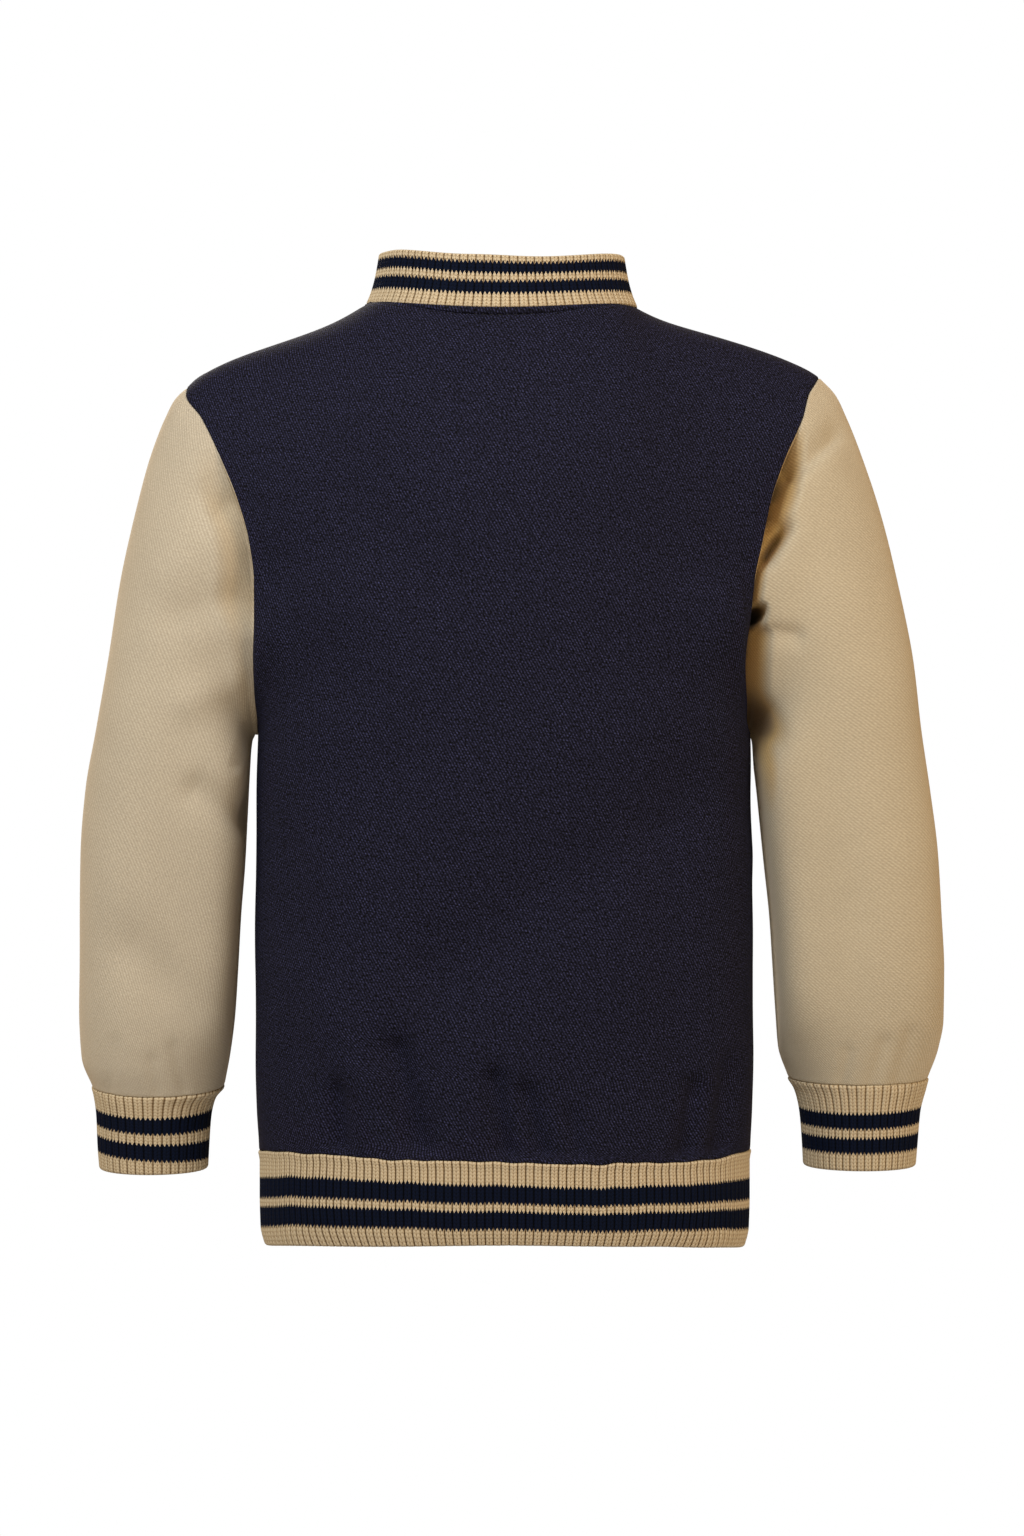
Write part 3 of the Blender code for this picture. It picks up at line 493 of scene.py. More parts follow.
SIGN = {"left": 1, "right": -1}
EDGE_STEPS = np.array([0, 0.0012, 0.0028, 0.0055])
rows = np.concatenate([-1 + EDGE_STEPS, np.linspace(-0.99, 0, 92), np.linspace(0, 1, 100)[1:]])
out = np.concatenate([np.linspace(0, 0.988, 84), 1 - EDGE_STEPS[::-1]])
navy_twill = twill("navy_cotton_twill", "#05060d", "#131422", "#2f3250", 62, 1.2, 1.0, (0.07, "#20222f"))
across_back = np.concatenate([-out[:0:-1], out])
back = torso(across_back[None], rows[:, None], "back")
back_shape = settle(back, "back")
back_piece = add_twill("back_panel", back_shape, panel_uv(back_shape, -1), False, navy_twill)
belongs(back_piece, "back")


# The two fronts: the same twill. They meet the back at the shoulders and sides, and lap 22 mm at the centre,
# the left over the right, where the snaps close them.
LAP_U = 0.0445


def front(side):
    """The torso's front from the side to a little past the centre. The right one lies behind the left one."""
    inwards = np.concatenate([out[::-1], [-0.006, -0.015, -0.026, -0.036, -0.0405, -0.0430, -LAP_U]])
    points = torso(SIGN[side] * inwards[None], rows[:, None], "front")
    if side == "right":
        step = mix(0.0022, 0.0036, smooth((-0.33 - points[..., 2]) / 0.05))
        step = step * (1 - smooth((-points[..., 0] - 0.0150) / 0.020))
        points = points - normals(points)[0] * step[..., None]
    return points


fronts = {side: front(side) for side in ("left", "right")}
front_shapes = {side: settle(fronts[side], "front") for side in fronts}
for side, way in (("left", -1), ("right", 1)):
    uv = panel_uv(front_shapes[side], way)
    piece = add_twill("front_panel_" + side, front_shapes[side], uv, False, navy_twill)
    belongs(piece, "front_" + side)


# The sleeves: sand cotton twill, one piece each with a seam under the arm, set into the armhole and gathered
# into the cuff. They hang beside the body and crease softly where they meet it.
SLEEVE = {
    "left": table(
        "outer_x outer_z inner_x inner_z y depth",
        (0.1450, -0.0393, 0.1121, -0.1975, 0.0000, 0.0430),
        (0.1500, -0.0440, 0.1149, -0.1973, 0.0000, 0.0428),
        (0.1548, -0.0530, 0.1159, -0.1990, 0.0000, 0.0425),
        (0.1620, -0.0718, 0.1166, -0.2005, -0.0005, 0.0420),
        (0.1692, -0.0990, 0.1170, -0.2028, -0.0010, 0.0418),
        (0.1752, -0.1270, 0.1175, -0.2065, -0.0015, 0.0415),
        (0.1808, -0.1640, 0.1180, -0.2125, -0.0020, 0.0412),
        (0.1862, -0.1950, 0.1186, -0.2220, -0.0030, 0.0408),
        (0.1913, -0.2230, 0.1193, -0.2370, -0.0040, 0.0402),
        (0.1938, -0.2520, 0.1206, -0.2580, -0.0055, 0.0392),
        (0.1944, -0.2800, 0.1226, -0.2820, -0.0070, 0.0380),
        (0.1947, -0.3060, 0.1240, -0.3060, -0.0085, 0.0365),
        (0.1952, -0.3280, 0.1254, -0.3280, -0.0100, 0.0345),
        (0.1946, -0.3460, 0.1277, -0.3460, -0.0112, 0.0310),
        (0.1897, -0.3600, 0.1303, -0.3600, -0.0120, 0.0262),
    ),
    "right": table(
        "outer_x outer_z inner_x inner_z y depth",
        (0.1447, -0.0346, 0.1106, -0.1975, 0.0000, 0.0430),
        (0.1520, -0.0425, 0.1134, -0.1974, 0.0000, 0.0428),
        (0.1570, -0.0530, 0.1144, -0.1990, 0.0000, 0.0425),
        (0.1644, -0.0718, 0.1149, -0.2005, -0.0005, 0.0420),
        (0.1730, -0.0990, 0.1152, -0.2028, -0.0010, 0.0418),
        (0.1797, -0.1270, 0.1155, -0.2065, -0.0015, 0.0415),
        (0.1870, -0.1640, 0.1160, -0.2125, -0.0020, 0.0412),
        (0.1906, -0.1950, 0.1172, -0.2220, -0.0030, 0.0410),
        (0.1948, -0.2230, 0.1188, -0.2370, -0.0040, 0.0406),
        (0.1986, -0.2520, 0.1210, -0.2580, -0.0050, 0.0400),
        (0.2004, -0.2800, 0.1236, -0.2820, -0.0060, 0.0392),
        (0.2018, -0.3060, 0.1252, -0.3060, -0.0070, 0.0380),
        (0.2018, -0.3280, 0.1266, -0.3280, -0.0080, 0.0355),
        (0.1998, -0.3420, 0.1276, -0.3420, -0.0086, 0.0320),
        (0.1950, -0.3560, 0.1322, -0.3560, -0.0090, 0.0270),
    ),
}
# Each fold: its face, x1, z1, x2, z2, width, depth and clear, with x measured outwards.
SLEEVE_FOLDS = {
    "left": [
        ("back", 0.1460, -0.1450, 0.1180, -0.1360, 0.010, 0.0022, 0.010),
        ("back", 0.1520, -0.1270, 0.1360, -0.1150, 0.009, -0.0012, 0.010),
        ("back", 0.1420, -0.1840, 0.1200, -0.1720, 0.008, -0.0020, 0.012),
        ("back", 0.1370, -0.2240, 0.1190, -0.2370, 0.008, 0.0034, 0.012),
        ("back", 0.1345, -0.0895, 0.1285, -0.0965, 0.007, 0.0024, 0.006),
        ("back", 0.1680, -0.2960, 0.1400, -0.3200, 0.013, 0.0026, 0.016),
        ("back", 0.1770, -0.3380, 0.1800, -0.3600, 0.003, 0.0008, 0.010),
        ("back", 0.1600, -0.3460, 0.1580, -0.3610, 0.003, 0.0009, 0.010),
        ("back", 0.1500, -0.3400, 0.1460, -0.3600, 0.003, 0.0010, 0.010),
        ("front", 0.148, -0.090, 0.124, -0.126, 0.011, 0.0044, 0.016),
        ("front", 0.144, -0.148, 0.118, -0.168, 0.010, 0.0042, 0.016),
        ("front", 0.188, -0.212, 0.146, -0.240, 0.013, 0.0036, 0.016),
    ],
    "right": [
        ("back", 0.1480, -0.0620, 0.1290, -0.0800, 0.005, 0.0046, 0.004),
        ("back", 0.1255, -0.1060, 0.1170, -0.1200, 0.004, 0.0060, 0.003),
        ("back", 0.1160, -0.1530, 0.1300, -0.1545, 0.005, 0.0024, 0.006),
        ("back", 0.1720, -0.3380, 0.1670, -0.3560, 0.004, 0.0010, 0.010),
        ("back", 0.1840, -0.3340, 0.1790, -0.3560, 0.004, 0.0011, 0.010),
        ("back", 0.1560, -0.3420, 0.1540, -0.3560, 0.003, 0.0008, 0.010),
        ("front", 0.150, -0.078, 0.126, -0.112, 0.011, 0.0044, 0.016),
        ("front", 0.144, -0.138, 0.116, -0.160, 0.010, 0.0044, 0.016),
        ("front", 0.192, -0.205, 0.148, -0.230, 0.013, 0.0036, 0.016),
    ],
}
# Steep folds beside the armhole seam, where spare cloth tucks in behind the body.
SEAM_FOLDS = {
    "left": [
        ("back", 0.1160, -0.1960, 0.1200, -0.2120, 0.0050, 0.0030, 0.003),
        ("front", 0.1160, -0.1300, 0.1150, -0.1500, 0.0045, 0.0040, 0.003),
    ],
    "right": [
        ("front", 0.1160, -0.1240, 0.1140, -0.1500, 0.0045, 0.0045, 0.003),
    ],
}
# Where the sleeve tucks in beside the armhole seam at the back: the seam's z and x, the tuck's width and
# depth, and how much painted brown shade its colour gets there, standing in for light that has bounced
# from sand cloth to sand cloth.
TUCK = {
    "left": table(
        "z x width depth brown",
        (-0.2060, 0.1140, 0.0060, 0.0, 0.0),
        (-0.1960, 0.1125, 0.0080, 0.0015, 0.20),
        (-0.1560, 0.1135, 0.0110, 0.0030, 0.08),
        (-0.1368, 0.1135, 0.0170, 0.0105, 0.26),
        (-0.1230, 0.1145, 0.0150, 0.0105, 0.22),
        (-0.1100, 0.1163, 0.0150, 0.0086, 0.22),
        (-0.0950, 0.1205, 0.0160, 0.0092, 0.24),
        (-0.0860, 0.1238, 0.0150, 0.0060, 0.12),
        (-0.0700, 0.1290, 0.0100, 0.0, 0.0),
    ),
    "right": table(
        "z x width depth brown",
        (-0.2350, 0.1180, 0.0060, 0.0, 0.0),
        (-0.2150, 0.1150, 0.0100, 0.0, 0.75),
        (-0.2040, 0.1125, 0.0120, 0.0040, 1.0),
        (-0.1980, 0.1115, 0.0135, 0.0130, 1.0),
        (-0.1880, 0.1090, 0.0145, 0.0185, 1.0),
        (-0.1829, 0.1078, 0.0135, 0.0180, 1.0),
        (-0.1560, 0.1089, 0.0125, 0.0170, 1.0),
        (-0.1500, 0.1096, 0.0090, 0.0170, 1.0),
        (-0.1381, 0.1111, 0.0056, 0.0100, 0.9),
        (-0.1180, 0.1151, 0.0050, 0.0084, 0.8),
        (-0.1076, 0.1172, 0.0076, 0.0140, 1.0),
        (-0.1003, 0.1187, 0.0116, 0.0190, 1.0),
        (-0.0930, 0.1210, 0.0124, 0.0190, 1.0),
        (-0.0821, 0.1245, 0.0110, 0.0160, 1.0),
        (-0.0720, 0.1278, 0.0085, 0.0100, 0.8),
        (-0.0600, 0.1320, 0.0050, 0.0, 0.0),
    ),
}
# The hollows under the right sleeve's folds at the back: each middle's x and z, half its width and height,
# its slant, its depth, how sharp its edge is, and how dark the painted shade in it is.
HOLLOWS = table(
    "x z wide high slant depth edge dark",
    (0.1130, -0.1452, 0.0044, 0.0050, 0.45, 0.042, 3.0, 1.0),
    (0.1212, -0.1130, 0.0034, 0.0092, 1.60, 0.010, 1.5, 0.75),
    (0.1163, -0.1900, 0.0078, 0.0108, -0.50, 0.008, 1.6, 0.97),
)
RING_DROP = {"left": 0.0036, "right": 0.0018}  # how much lower the cuff's seam is at the back than mid way
ARMHOLE_FADE = 0.35  # share of the sleeve's length over which the armhole's shape fades


def rings(columns, side, down, around):
    """Ellipses from the outer point round the back to the inner one, at down from 0 to 1 along the table."""
    place = dict(columns, row=np.linspace(0, 1, len(columns["y"])))
    outer, inner = (
        np.stack([read(place, end + "_x", "row", down), read(place, end + "_z", "row", down)], -1)
        for end in ("outer", "inner")
    )
    centre, reach = (outer + inner) / 2, (outer - inner) / 2
    flat = centre[:, None] + reach[:, None] * np.cos(around)[None, :, None]
    y = read(place, "y", "row", down)[:, None] + read(place, "depth", "row", down)[:, None] * np.sin(around)
    return np.stack([SIGN[side] * flat[..., 0], y, flat[..., 1]], -1)


def armhole(side, around):
    """The armhole seam at these angles, from the shoulder tip down the back and up the front."""
    around = np.mod(around, 2 * math.pi)[:, None]
    behind = torso(SIGN[side], np.clip(1 - around / math.pi, 0, 1), "back")
    before = torso(SIGN[side], np.clip(around / math.pi - 1, 0, 1), "front")
    return np.where((around <= math.pi)[..., None], behind, before)[:, 0]


def sleeve(side, down, around):
    """Rings that start on the armhole, whose difference from a plain ellipse fades on the way down. Below
    that they are flatter at back and front: depth * |sin|^0.7 for depth * |sin|. Towards the body the back is
    flatter still and ends in a soft fold: depth * (1 - |cos|^5)^(1/5). Soft folds move points towards the
    ring's centre, and tucks and hollows straight in from the back or front. The underarm seam is a groove
    0.6 mm deep and about 2 mm wide. Each point's share of painted shade comes with them: painted brown shade
    in the tucks and painted dark shade in the hollows."""
    points = rings(SLEEVE[side], side, down, around)
    first = rings(SLEEVE[side], side, np.zeros(1), around)[0]
    points = points + (armhole(side, around) - first) * (1 - smooth(down / ARMHOLE_FADE))[:, None, None]
    flat = smooth((down - 0.25) / 0.25) * (1 - smooth((down - 0.80) / 0.20))
    side_on, facing = np.cos(around), np.sin(around)
    boxed = np.where((side_on < 0) & (facing > 0), (1 - abs(side_on) ** 5) ** 0.2, abs(facing) ** 0.7)
    part = (boxed - abs(facing)) * flat[:, None]
    depth = read(dict(SLEEVE[side], row=np.linspace(0, 1, len(SLEEVE[side]["y"]))), "depth", "row", down)
    points[..., 1] += depth[:, None] * part * np.sign(facing)
    points[..., 2] -= RING_DROP[side] * facing * smooth((down[:, None] - 0.6) / 0.4)
    full = np.linspace(0, 2 * math.pi, 72, endpoint=False)
    centre = rings(SLEEVE[side], side, down, full).mean(axis=1, keepdims=True)
    inwards = centre - points
    inwards /= np.linalg.norm(inwards, axis=-1, keepdims=True)
    behind = smooth(0.5 + (points[..., 1] - centre[..., 1]) / 0.024)
    upright = points * (SIGN[side], 1, 1)
    off = np.linalg.norm(points - armhole(side, around), axis=-1)
    depth = 0.0006 * np.exp(-(((math.pi - abs(around)) * 0.038 / 0.0010) ** 2)) * smooth(off / 0.003)
    for face, share in (("back", behind), ("front", 1 - behind)):
        depth += troughs(upright, off, face, SLEEVE_FOLDS[side]) * share
    points = points + inwards * depth[..., None]
    points[..., 1] -= troughs(upright, off, "back", SEAM_FOLDS[side], True) * behind
    middle, width, deep, brown = (
        read(TUCK[side], name, "z", upright[..., 2]) for name in ("x", "width", "depth", "brown")
    )
    share = np.clip(1 - (upright[..., 0] - middle) / width, 0, 1)
    points[..., 1] -= deep * 1.15 * share**2 / (share + 0.15) * behind * smooth(off / 0.0003)
    points[..., 1] += troughs(upright, off, "front", SEAM_FOLDS[side], True) * (1 - behind)
    # Painted shade: a share of brown shade in the tuck beside the seam, and of dark shade in each hollow.
    painted_shade_share = 0.5 * brown * smooth(share / 0.45) * behind
    if side == "right":
        for x, z, wide, high, slant, deep, edge, painted_dark_shade in zip(*HOLLOWS.values()):
            rise = (upright[..., 2] - z) / high
            gap = ((upright[..., 0] - x) / wide - slant * rise) ** 2 + rise**2
            hollow = np.exp(-(gap**edge)) * behind
            points[..., 1] -= deep * hollow * smooth(off / 0.0003)
            # Painted dark shade in the hollow.
            painted_shade_share = mix(painted_shade_share, 1, painted_dark_shade * hollow)
    return points, painted_shade_share


def sleeve_uv(points, side):
    """Metres round the sleeve's axis at a steady 38 mm from it, from its outer line to the right as seen from
    outside, and metres up the axis. The axis runs straight from mid armhole to mid cuff."""
    sign = SIGN[side]
    ring = np.concatenate([points, points[:, :1]], axis=1)
    x = sign * ring[..., 0] - (0.1286 - 0.130 * (ring[..., 2] + 0.118))
    angle = np.unwrap(np.arctan2(ring[..., 1] + 0.004, x), axis=1)
    middle = points.shape[1] // 2
    angle -= 2 * math.pi * np.round(angle[:, middle : middle + 1] / (2 * math.pi))
    return np.stack([sign * 0.038 * angle, ring[..., 2] * 0.992 - 0.129 * sign * ring[..., 0]], -1)


down = np.concatenate([[0, 0.0012, 0.0026, 0.0045], np.linspace(0.008, 0.995, 150), [0.9972, 0.9987, 1]])
# The columns lie closer on the back beside the armhole, and at the underarm seam.
turn = np.linspace(-math.pi, math.pi, 4001)
on_back = np.exp(-(((turn - 1.9) / 0.8) ** 4))
share = np.cumsum(1 + on_back + 4 * np.exp(-(((abs(turn) - math.pi) / 0.05) ** 2)))
around = np.interp(np.linspace(share[0], share[-1], 231)[:-1], share, turn)
# Painted shade for the sleeves' tucks: a browner multiplier, then a dark one.
PAINTED_SHADES = ((1.04, 0.80, 0.43, 1), (0.30, 0.20, 0.11, 1))
SAND_FUZZ = (0.45, "#d6c6ac")
SAND_CLOTH = {
    # Its groove, yarn and light colours, the slope of its lines, its contrast and its speckle.
    "left": ("#80786c", "#a6a08e", "#c3bfaf", 64, 0.5, 0.09),
    "right": ("#807761", "#a69e88", "#c3bda8", 48, 0.5, 0.07),
}
sand_twill = {
    side: twill("sand_cotton_twill_" + side, *cloth, SAND_FUZZ, PAINTED_SHADES) for side, cloth in SAND_CLOTH.items()
}
for side, width, area in (("left", 0.405, 0.0615), ("right", 0.411, 0.0645)):
    grid, painted_shade_share = sleeve(side, down, around)
    uv = sleeve_uv(grid, side)
    piece = add_twill("sleeve_" + side + "_cloth", grid, uv, True, sand_twill[side], (1, 0, 1), painted_shade_share)
    belongs(piece, "sleeve_" + side)


# The cuffs: cotton rib knit, sand with two navy stripes, knitted in pairs of wales with a valley between each
# pair and folded double. Each is sewn to a sleeve's end.
CUFF = {
    "left": table(
        "outer_x outer_z inner_x inner_z y depth",
        (0.1897, -0.3600, 0.1303, -0.3600, -0.0120, 0.0262),
        (0.1884, -0.3655, 0.1348, -0.3655, -0.0122, 0.0248),
        (0.1874, -0.3740, 0.1371, -0.3740, -0.0126, 0.0236),
        (0.1869, -0.3880, 0.1382, -0.3880, -0.0132, 0.0226),
        (0.1861, -0.3990, 0.1388, -0.3990, -0.0136, 0.0220),
    ),
    "right": table(
        "outer_x outer_z inner_x inner_z y depth",
        (0.1950, -0.3560, 0.1322, -0.3560, -0.0090, 0.0270),
        (0.1936, -0.3615, 0.1356, -0.3615, -0.0092, 0.0256),
        (0.1911, -0.3715, 0.1381, -0.3715, -0.0096, 0.0244),
        (0.1899, -0.3860, 0.1394, -0.3860, -0.0102, 0.0232),
        (0.1890, -0.3972, 0.1400, -0.3972, -0.0106, 0.0226),
    ),
}
RIB = 0.0030
RIB_PHASES = np.array([0, 0.07, 0.17, 0.33, 0.50, 0.67, 0.83, 0.93])


def rib_lines(count):
    """The place of each column in ribs, with more columns next to each valley."""
    return (np.arange(count)[:, None] + RIB_PHASES).ravel()


def add_rib(name, points, lines, closed, material, skew=None, valley=0.55):
    """Knit folded double: its outer layer from the seam to the fold and its inner one back to the seam. Half
    the thickness falls to nothing at the seam, the fold and the ends. It is less in the valleys, by
    exp(-(d/0.11)^2) at d ribs from each, and a little less between a rib's two wales. The stripes follow the
    share of the height, plus skew."""
    down = arc_lengths(points, 0)
    rounded = np.sqrt(1 - (1 - np.clip(down / 0.0008, 0, 1)) ** 2)
    rounded *= np.sqrt(1 - (1 - np.clip((down[-1:] - down) / 0.0015, 0, 1)) ** 2)
    if not closed:
        along = arc_lengths(points, 1)
        end = np.minimum(along, along[:, -1:] - along)
        rounded *= np.sqrt(1 - (1 - np.clip(end / 0.0012, 0, 1)) ** 2)
    off = abs(lines - np.round(lines))
    groove = np.exp(-((off / 0.11) ** 2)) + 0.16 * np.exp(-(((0.5 - off) / 0.08) ** 2))
    half = (RIB / 2 * rounded * (1 - valley * groove))[..., None]
    n, way = normals(points, closed)
    sheet = np.concatenate([points + n * half, (points - n * half)[-2::-1]])
    ring = np.concatenate([lines, [lines[-1] + 1 - RIB_PHASES[-1]]]) if closed else lines
    shares = down / down[-1:] if skew is None else down / down[-1:] + skew
    shares = np.concatenate([shares, shares[:, :1]], axis=1) if closed else shares
    uv = np.stack(np.broadcast_arrays(ring[None], np.concatenate([shares, shares[-2::-1]])), -1)
    row, column = grid_faces(*sheet.shape[:2], closed)
    columns = sheet.shape[1]
    faces, corner_uv = row * columns + column % columns, uv[row, column]
    if way < 0:
        faces, corner_uv = faces[:, ::-1], corner_uv[:, ::-1]
    return add_mesh(name, sheet.reshape(-1, 3), faces, corner_uv, material)


COURSE = 0.00165
STITCH_V = 0.0017  # height of a stitch's V, which is the depth of a border's teeth


def rib_knit(name, sand, navy, borders, height, painted_dark_shade):
    """Rib knit of matt cotton yarn. Across, each rib is two wales of V-shaped stitches, and down, courses
    1.25 mm apart are drawn COURSE apart so that they show. Colours change at the borders, from a stitch's V
    to the next, so each border is toothed. The gaps between stitches and the valleys get painted shade,
    darker and browner: at a valley's middle the colour is multiplied by the given shade factor."""
    material = bpy.data.materials.new(name)
    material.use_nodes = True
    tree = material.node_tree
    shader = tree.nodes["Principled BSDF"]
    where = add_node(tree, "SeparateXYZ", None, {0: add_node(tree, "UVMap", uv_map="cloth").outputs[0]})
    twice = add_node(tree, "Math", {1: 2.0}, {0: where.outputs["X"]}, operation="MULTIPLY")
    wale = add_node(tree, "Math", {1: 0.5}, {0: twice.outputs[0]}, operation="PINGPONG").outputs[0]
    rib = add_node(tree, "Math", {1: 0.5}, {0: where.outputs["X"]}, operation="PINGPONG").outputs[0]
    tooth = add_node(tree, "MapRange", {1: 0.0, 2: 0.5, 3: 0.5, 4: -0.5}, {0: wale}).outputs[0]
    toothed = {0: tooth, 2: where.outputs["Y"]}
    reach = add_node(tree, "Math", {1: STITCH_V / height}, toothed, operation="MULTIPLY_ADD")
    ramp = add_node(tree, "ValToRGB", None, {0: reach.outputs[0]})
    ramp.color_ramp.interpolation = "CONSTANT"
    stops = ramp.color_ramp.elements
    stops.remove(stops[1])
    stops[0].color = linear(sand)
    for k, border in enumerate(borders):
        stops.new(border).color = linear(navy if k % 2 == 0 else sand)
    courses = {1: height / COURSE}
    course = add_node(tree, "Math", courses, {0: where.outputs["Y"]}, operation="MULTIPLY").outputs[0]
    vee = add_node(tree, "Math", {1: 1.1}, {0: wale, 2: course}, operation="MULTIPLY_ADD")
    stitch = add_node(tree, "Math", {1: 0.5}, {0: vee.outputs[0]}, operation="PINGPONG").outputs[0]
    rounded = add_node(tree, "MapRange", {1: 0.0, 2: 0.28}, {0: wale}, interpolation_type="SMOOTHSTEP")
    yarn = add_node(tree, "MapRange", {1: 0.0, 2: 0.32}, {0: stitch}, interpolation_type="SMOOTHSTEP")
    knit = add_node(tree, "Mix", {0: 0.5}, {2: rounded.outputs[0], 3: yarn.outputs[0]}, data_type="FLOAT")
    in_cloth = add_node(tree, "TexCoord").outputs["Object"]
    fuzz = add_node(tree, "TexNoise", {"Scale": 1400, "Detail": 2}, {"Vector": in_cloth})
    loops = add_node(tree, "Mix", {0: 0.18}, {2: knit.outputs[0], 3: fuzz.outputs["Fac"]}, data_type="FLOAT")
    # Painted shade in the valleys between ribs.
    from_valley = {1: 0.015, 2: 0.13, 3: painted_dark_shade, 4: 1.0}
    valley = add_node(tree, "MapRange", from_valley, {0: rib}, interpolation_type="SMOOTHSTEP")
    stitches = add_node(tree, "MapRange", {1: 0.0, 2: 0.8, 3: 0.42, 4: 1.22}, {0: loops.outputs[0]})
    shade = add_node(tree, "Math", None, {0: valley.outputs[0], 1: stitches.outputs[0]}, operation="MULTIPLY")
    # Painted shade turns browner as it darkens: red fades least and blue most.
    browner = {
        k: add_node(tree, "Math", {1: power}, {0: shade.outputs[0]}, operation="POWER").outputs[0]
        for k, power in enumerate((0.9, 1.1, 1.35))
    }
    tint = add_node(tree, "CombineXYZ", None, browner)
    cloth = add_node(tree, "VectorMath", None, {0: ramp.outputs[0], 1: tint.outputs[0]}, operation="MULTIPLY")
    bump = add_node(tree, "Bump", {"Strength": 0.8, "Distance": 0.00035}, {"Height": loops.outputs[0]})
    tree.links.new(cloth.outputs[0], shader.inputs["Base Color"])
    tree.links.new(bump.outputs[0], shader.inputs["Normal"])
    shader.inputs["Roughness"].default_value = 0.92
    shader.inputs["Specular IOR Level"].default_value = 0.10
    return material


SAND, NAVY = "#a6987c", "#030a1b"
at_fold = [0.965, 0.98, 0.992, 0.998, 1]
rib_rows = np.concatenate([[0, 0.004, 0.012, 0.024], np.linspace(0.05, 0.94, 18), at_fold])
CUFF_CUT = {
    # Ribs, the x of its middle, the borders of its stripes, their slant at the seam and at the fold, how dark
    # the painted shade in its valleys is, and its cut.
    "left": (38, 0.1625, (0.271, 0.477, 0.603, 0.815), (0.0, 0.06), 0.44, (0.176, 0.083)),
    "right": (48, 0.1645, (0.328, 0.511, 0.611, 0.792), (0.03, 0.0), 0.52, (0.183, 0.085)),
}
for side, (ribs, middle, borders, slant, painted_dark_shade, cut) in CUFF_CUT.items():
    sign = SIGN[side]
    lines = rib_lines(ribs)
    angle = lines / ribs * 2 * math.pi - math.pi
    grid = rings(CUFF[side], side, rib_rows, angle)
    place = dict(CUFF[side], row=np.linspace(0, 1, len(CUFF[side]["y"])))
    outer, inner = (read(place, end + "_x", "row", rib_rows)[:, None] for end in ("outer", "inner"))
    turn = np.cos(angle)[None]
    grid[..., 0] = sign * (middle + np.where(turn > 0, outer - middle, middle - inner) * turn)
    grid[..., 2] -= RING_DROP[side] * np.sin(angle) * (1 - 0.8 * rib_rows[:, None])
    end = SLEEVE[side]
    reach = (end["outer_x"][-1] - end["inner_x"][-1]) / 2
    across = np.clip((sign * grid[0, :, 0] - end["inner_x"][-1] - reach) / reach, -1, 1)
    seam = sleeve(side, np.ones(1), np.arccos(across) * np.where(np.sin(angle) < 0, -1, 1))[0][0]
    grid += (seam - grid[:1]) * (1 - smooth(rib_rows / 0.2))[:, None, None]
    knit = rib_knit("striped_cotton_rib_cuff_" + side, SAND, NAVY, borders, 0.040, painted_dark_shade)
    skew = turn * mix(slant[0], slant[1], rib_rows)[:, None]
    piece = add_rib("cuff_" + side + "_rib", grid, lines, True, knit, skew)
    belongs(piece, "cuff_" + side)


# The hem band: the same rib knit folded double, sewn to the bottom of the back and both fronts from one lap
# to the other, and drawn in a little at its fold.
def resample(curve, lines):
    """Points on a curve, at shares of its length in proportion to lines."""
    length = arc_lengths(curve, 0)
    at = length[-1] * (lines - lines[0]) / (lines[-1] - lines[0])
    return np.stack([np.interp(at, length, curve[:, k]) for k in range(3)], -1)


def drawn_in(curve):
    """Level unit vectors from each point of a curve to the upright axis through the origin."""
    inwards = -curve * (1, 1, 0)
    return inwards / np.linalg.norm(inwards, axis=-1, keepdims=True)


def round_height(inwards, side, back, front, turn):
    """The rib's height all round, from its height at the side, the back and the front: the side's plus the
    difference times |facing|^turn, where facing is the sine of the way from the side."""
    facing = -inwards[:, 1]
    return mix(side, np.where(facing > 0, back, front), abs(facing) ** turn)


# How far the stripes are raised at x, as a share of the band's height.
HEM_STRIPES = table(
    "x lift",
    (-0.1125, 0.0), (-0.1040, 0.0), (-0.0970, 0.018), (-0.0880, 0.016), (-0.0690, 0.015), (-0.0540, -0.003),
    (-0.0222, 0.0), (0.0017, 0.008), (0.0190, 0.002), (0.0465, 0.030), (0.0900, 0.031), (0.1030, 0.012),
    (0.1125, 0.0),
)
HEM_ROWS = table("down inset", (0.0, 0.0), (0.10, 0.0009), (0.45, 0.0009), (0.80, 0.0013), (1.0, 0.0036))
hem_seam = np.concatenate([fronts["left"][0][::-1], back[0][-2:0:-1], fronts["right"][0]])
lines = rib_lines(171)
seam = resample(hem_seam, lines)
inwards = drawn_in(seam)
height = round_height(inwards, 0.0421, 0.0375, 0.0409, 1.2) + hem_rise(seam[:, 0])
height += 0.0008 * smooth((-seam[:, 0] - 0.070) / 0.025)
grid = (
    seam
    + inwards * read(HEM_ROWS, "inset", "down", rib_rows)[:, None, None]
    - height[:, None] * np.array([0, 0, 1]) * rib_rows[:, None, None]
)
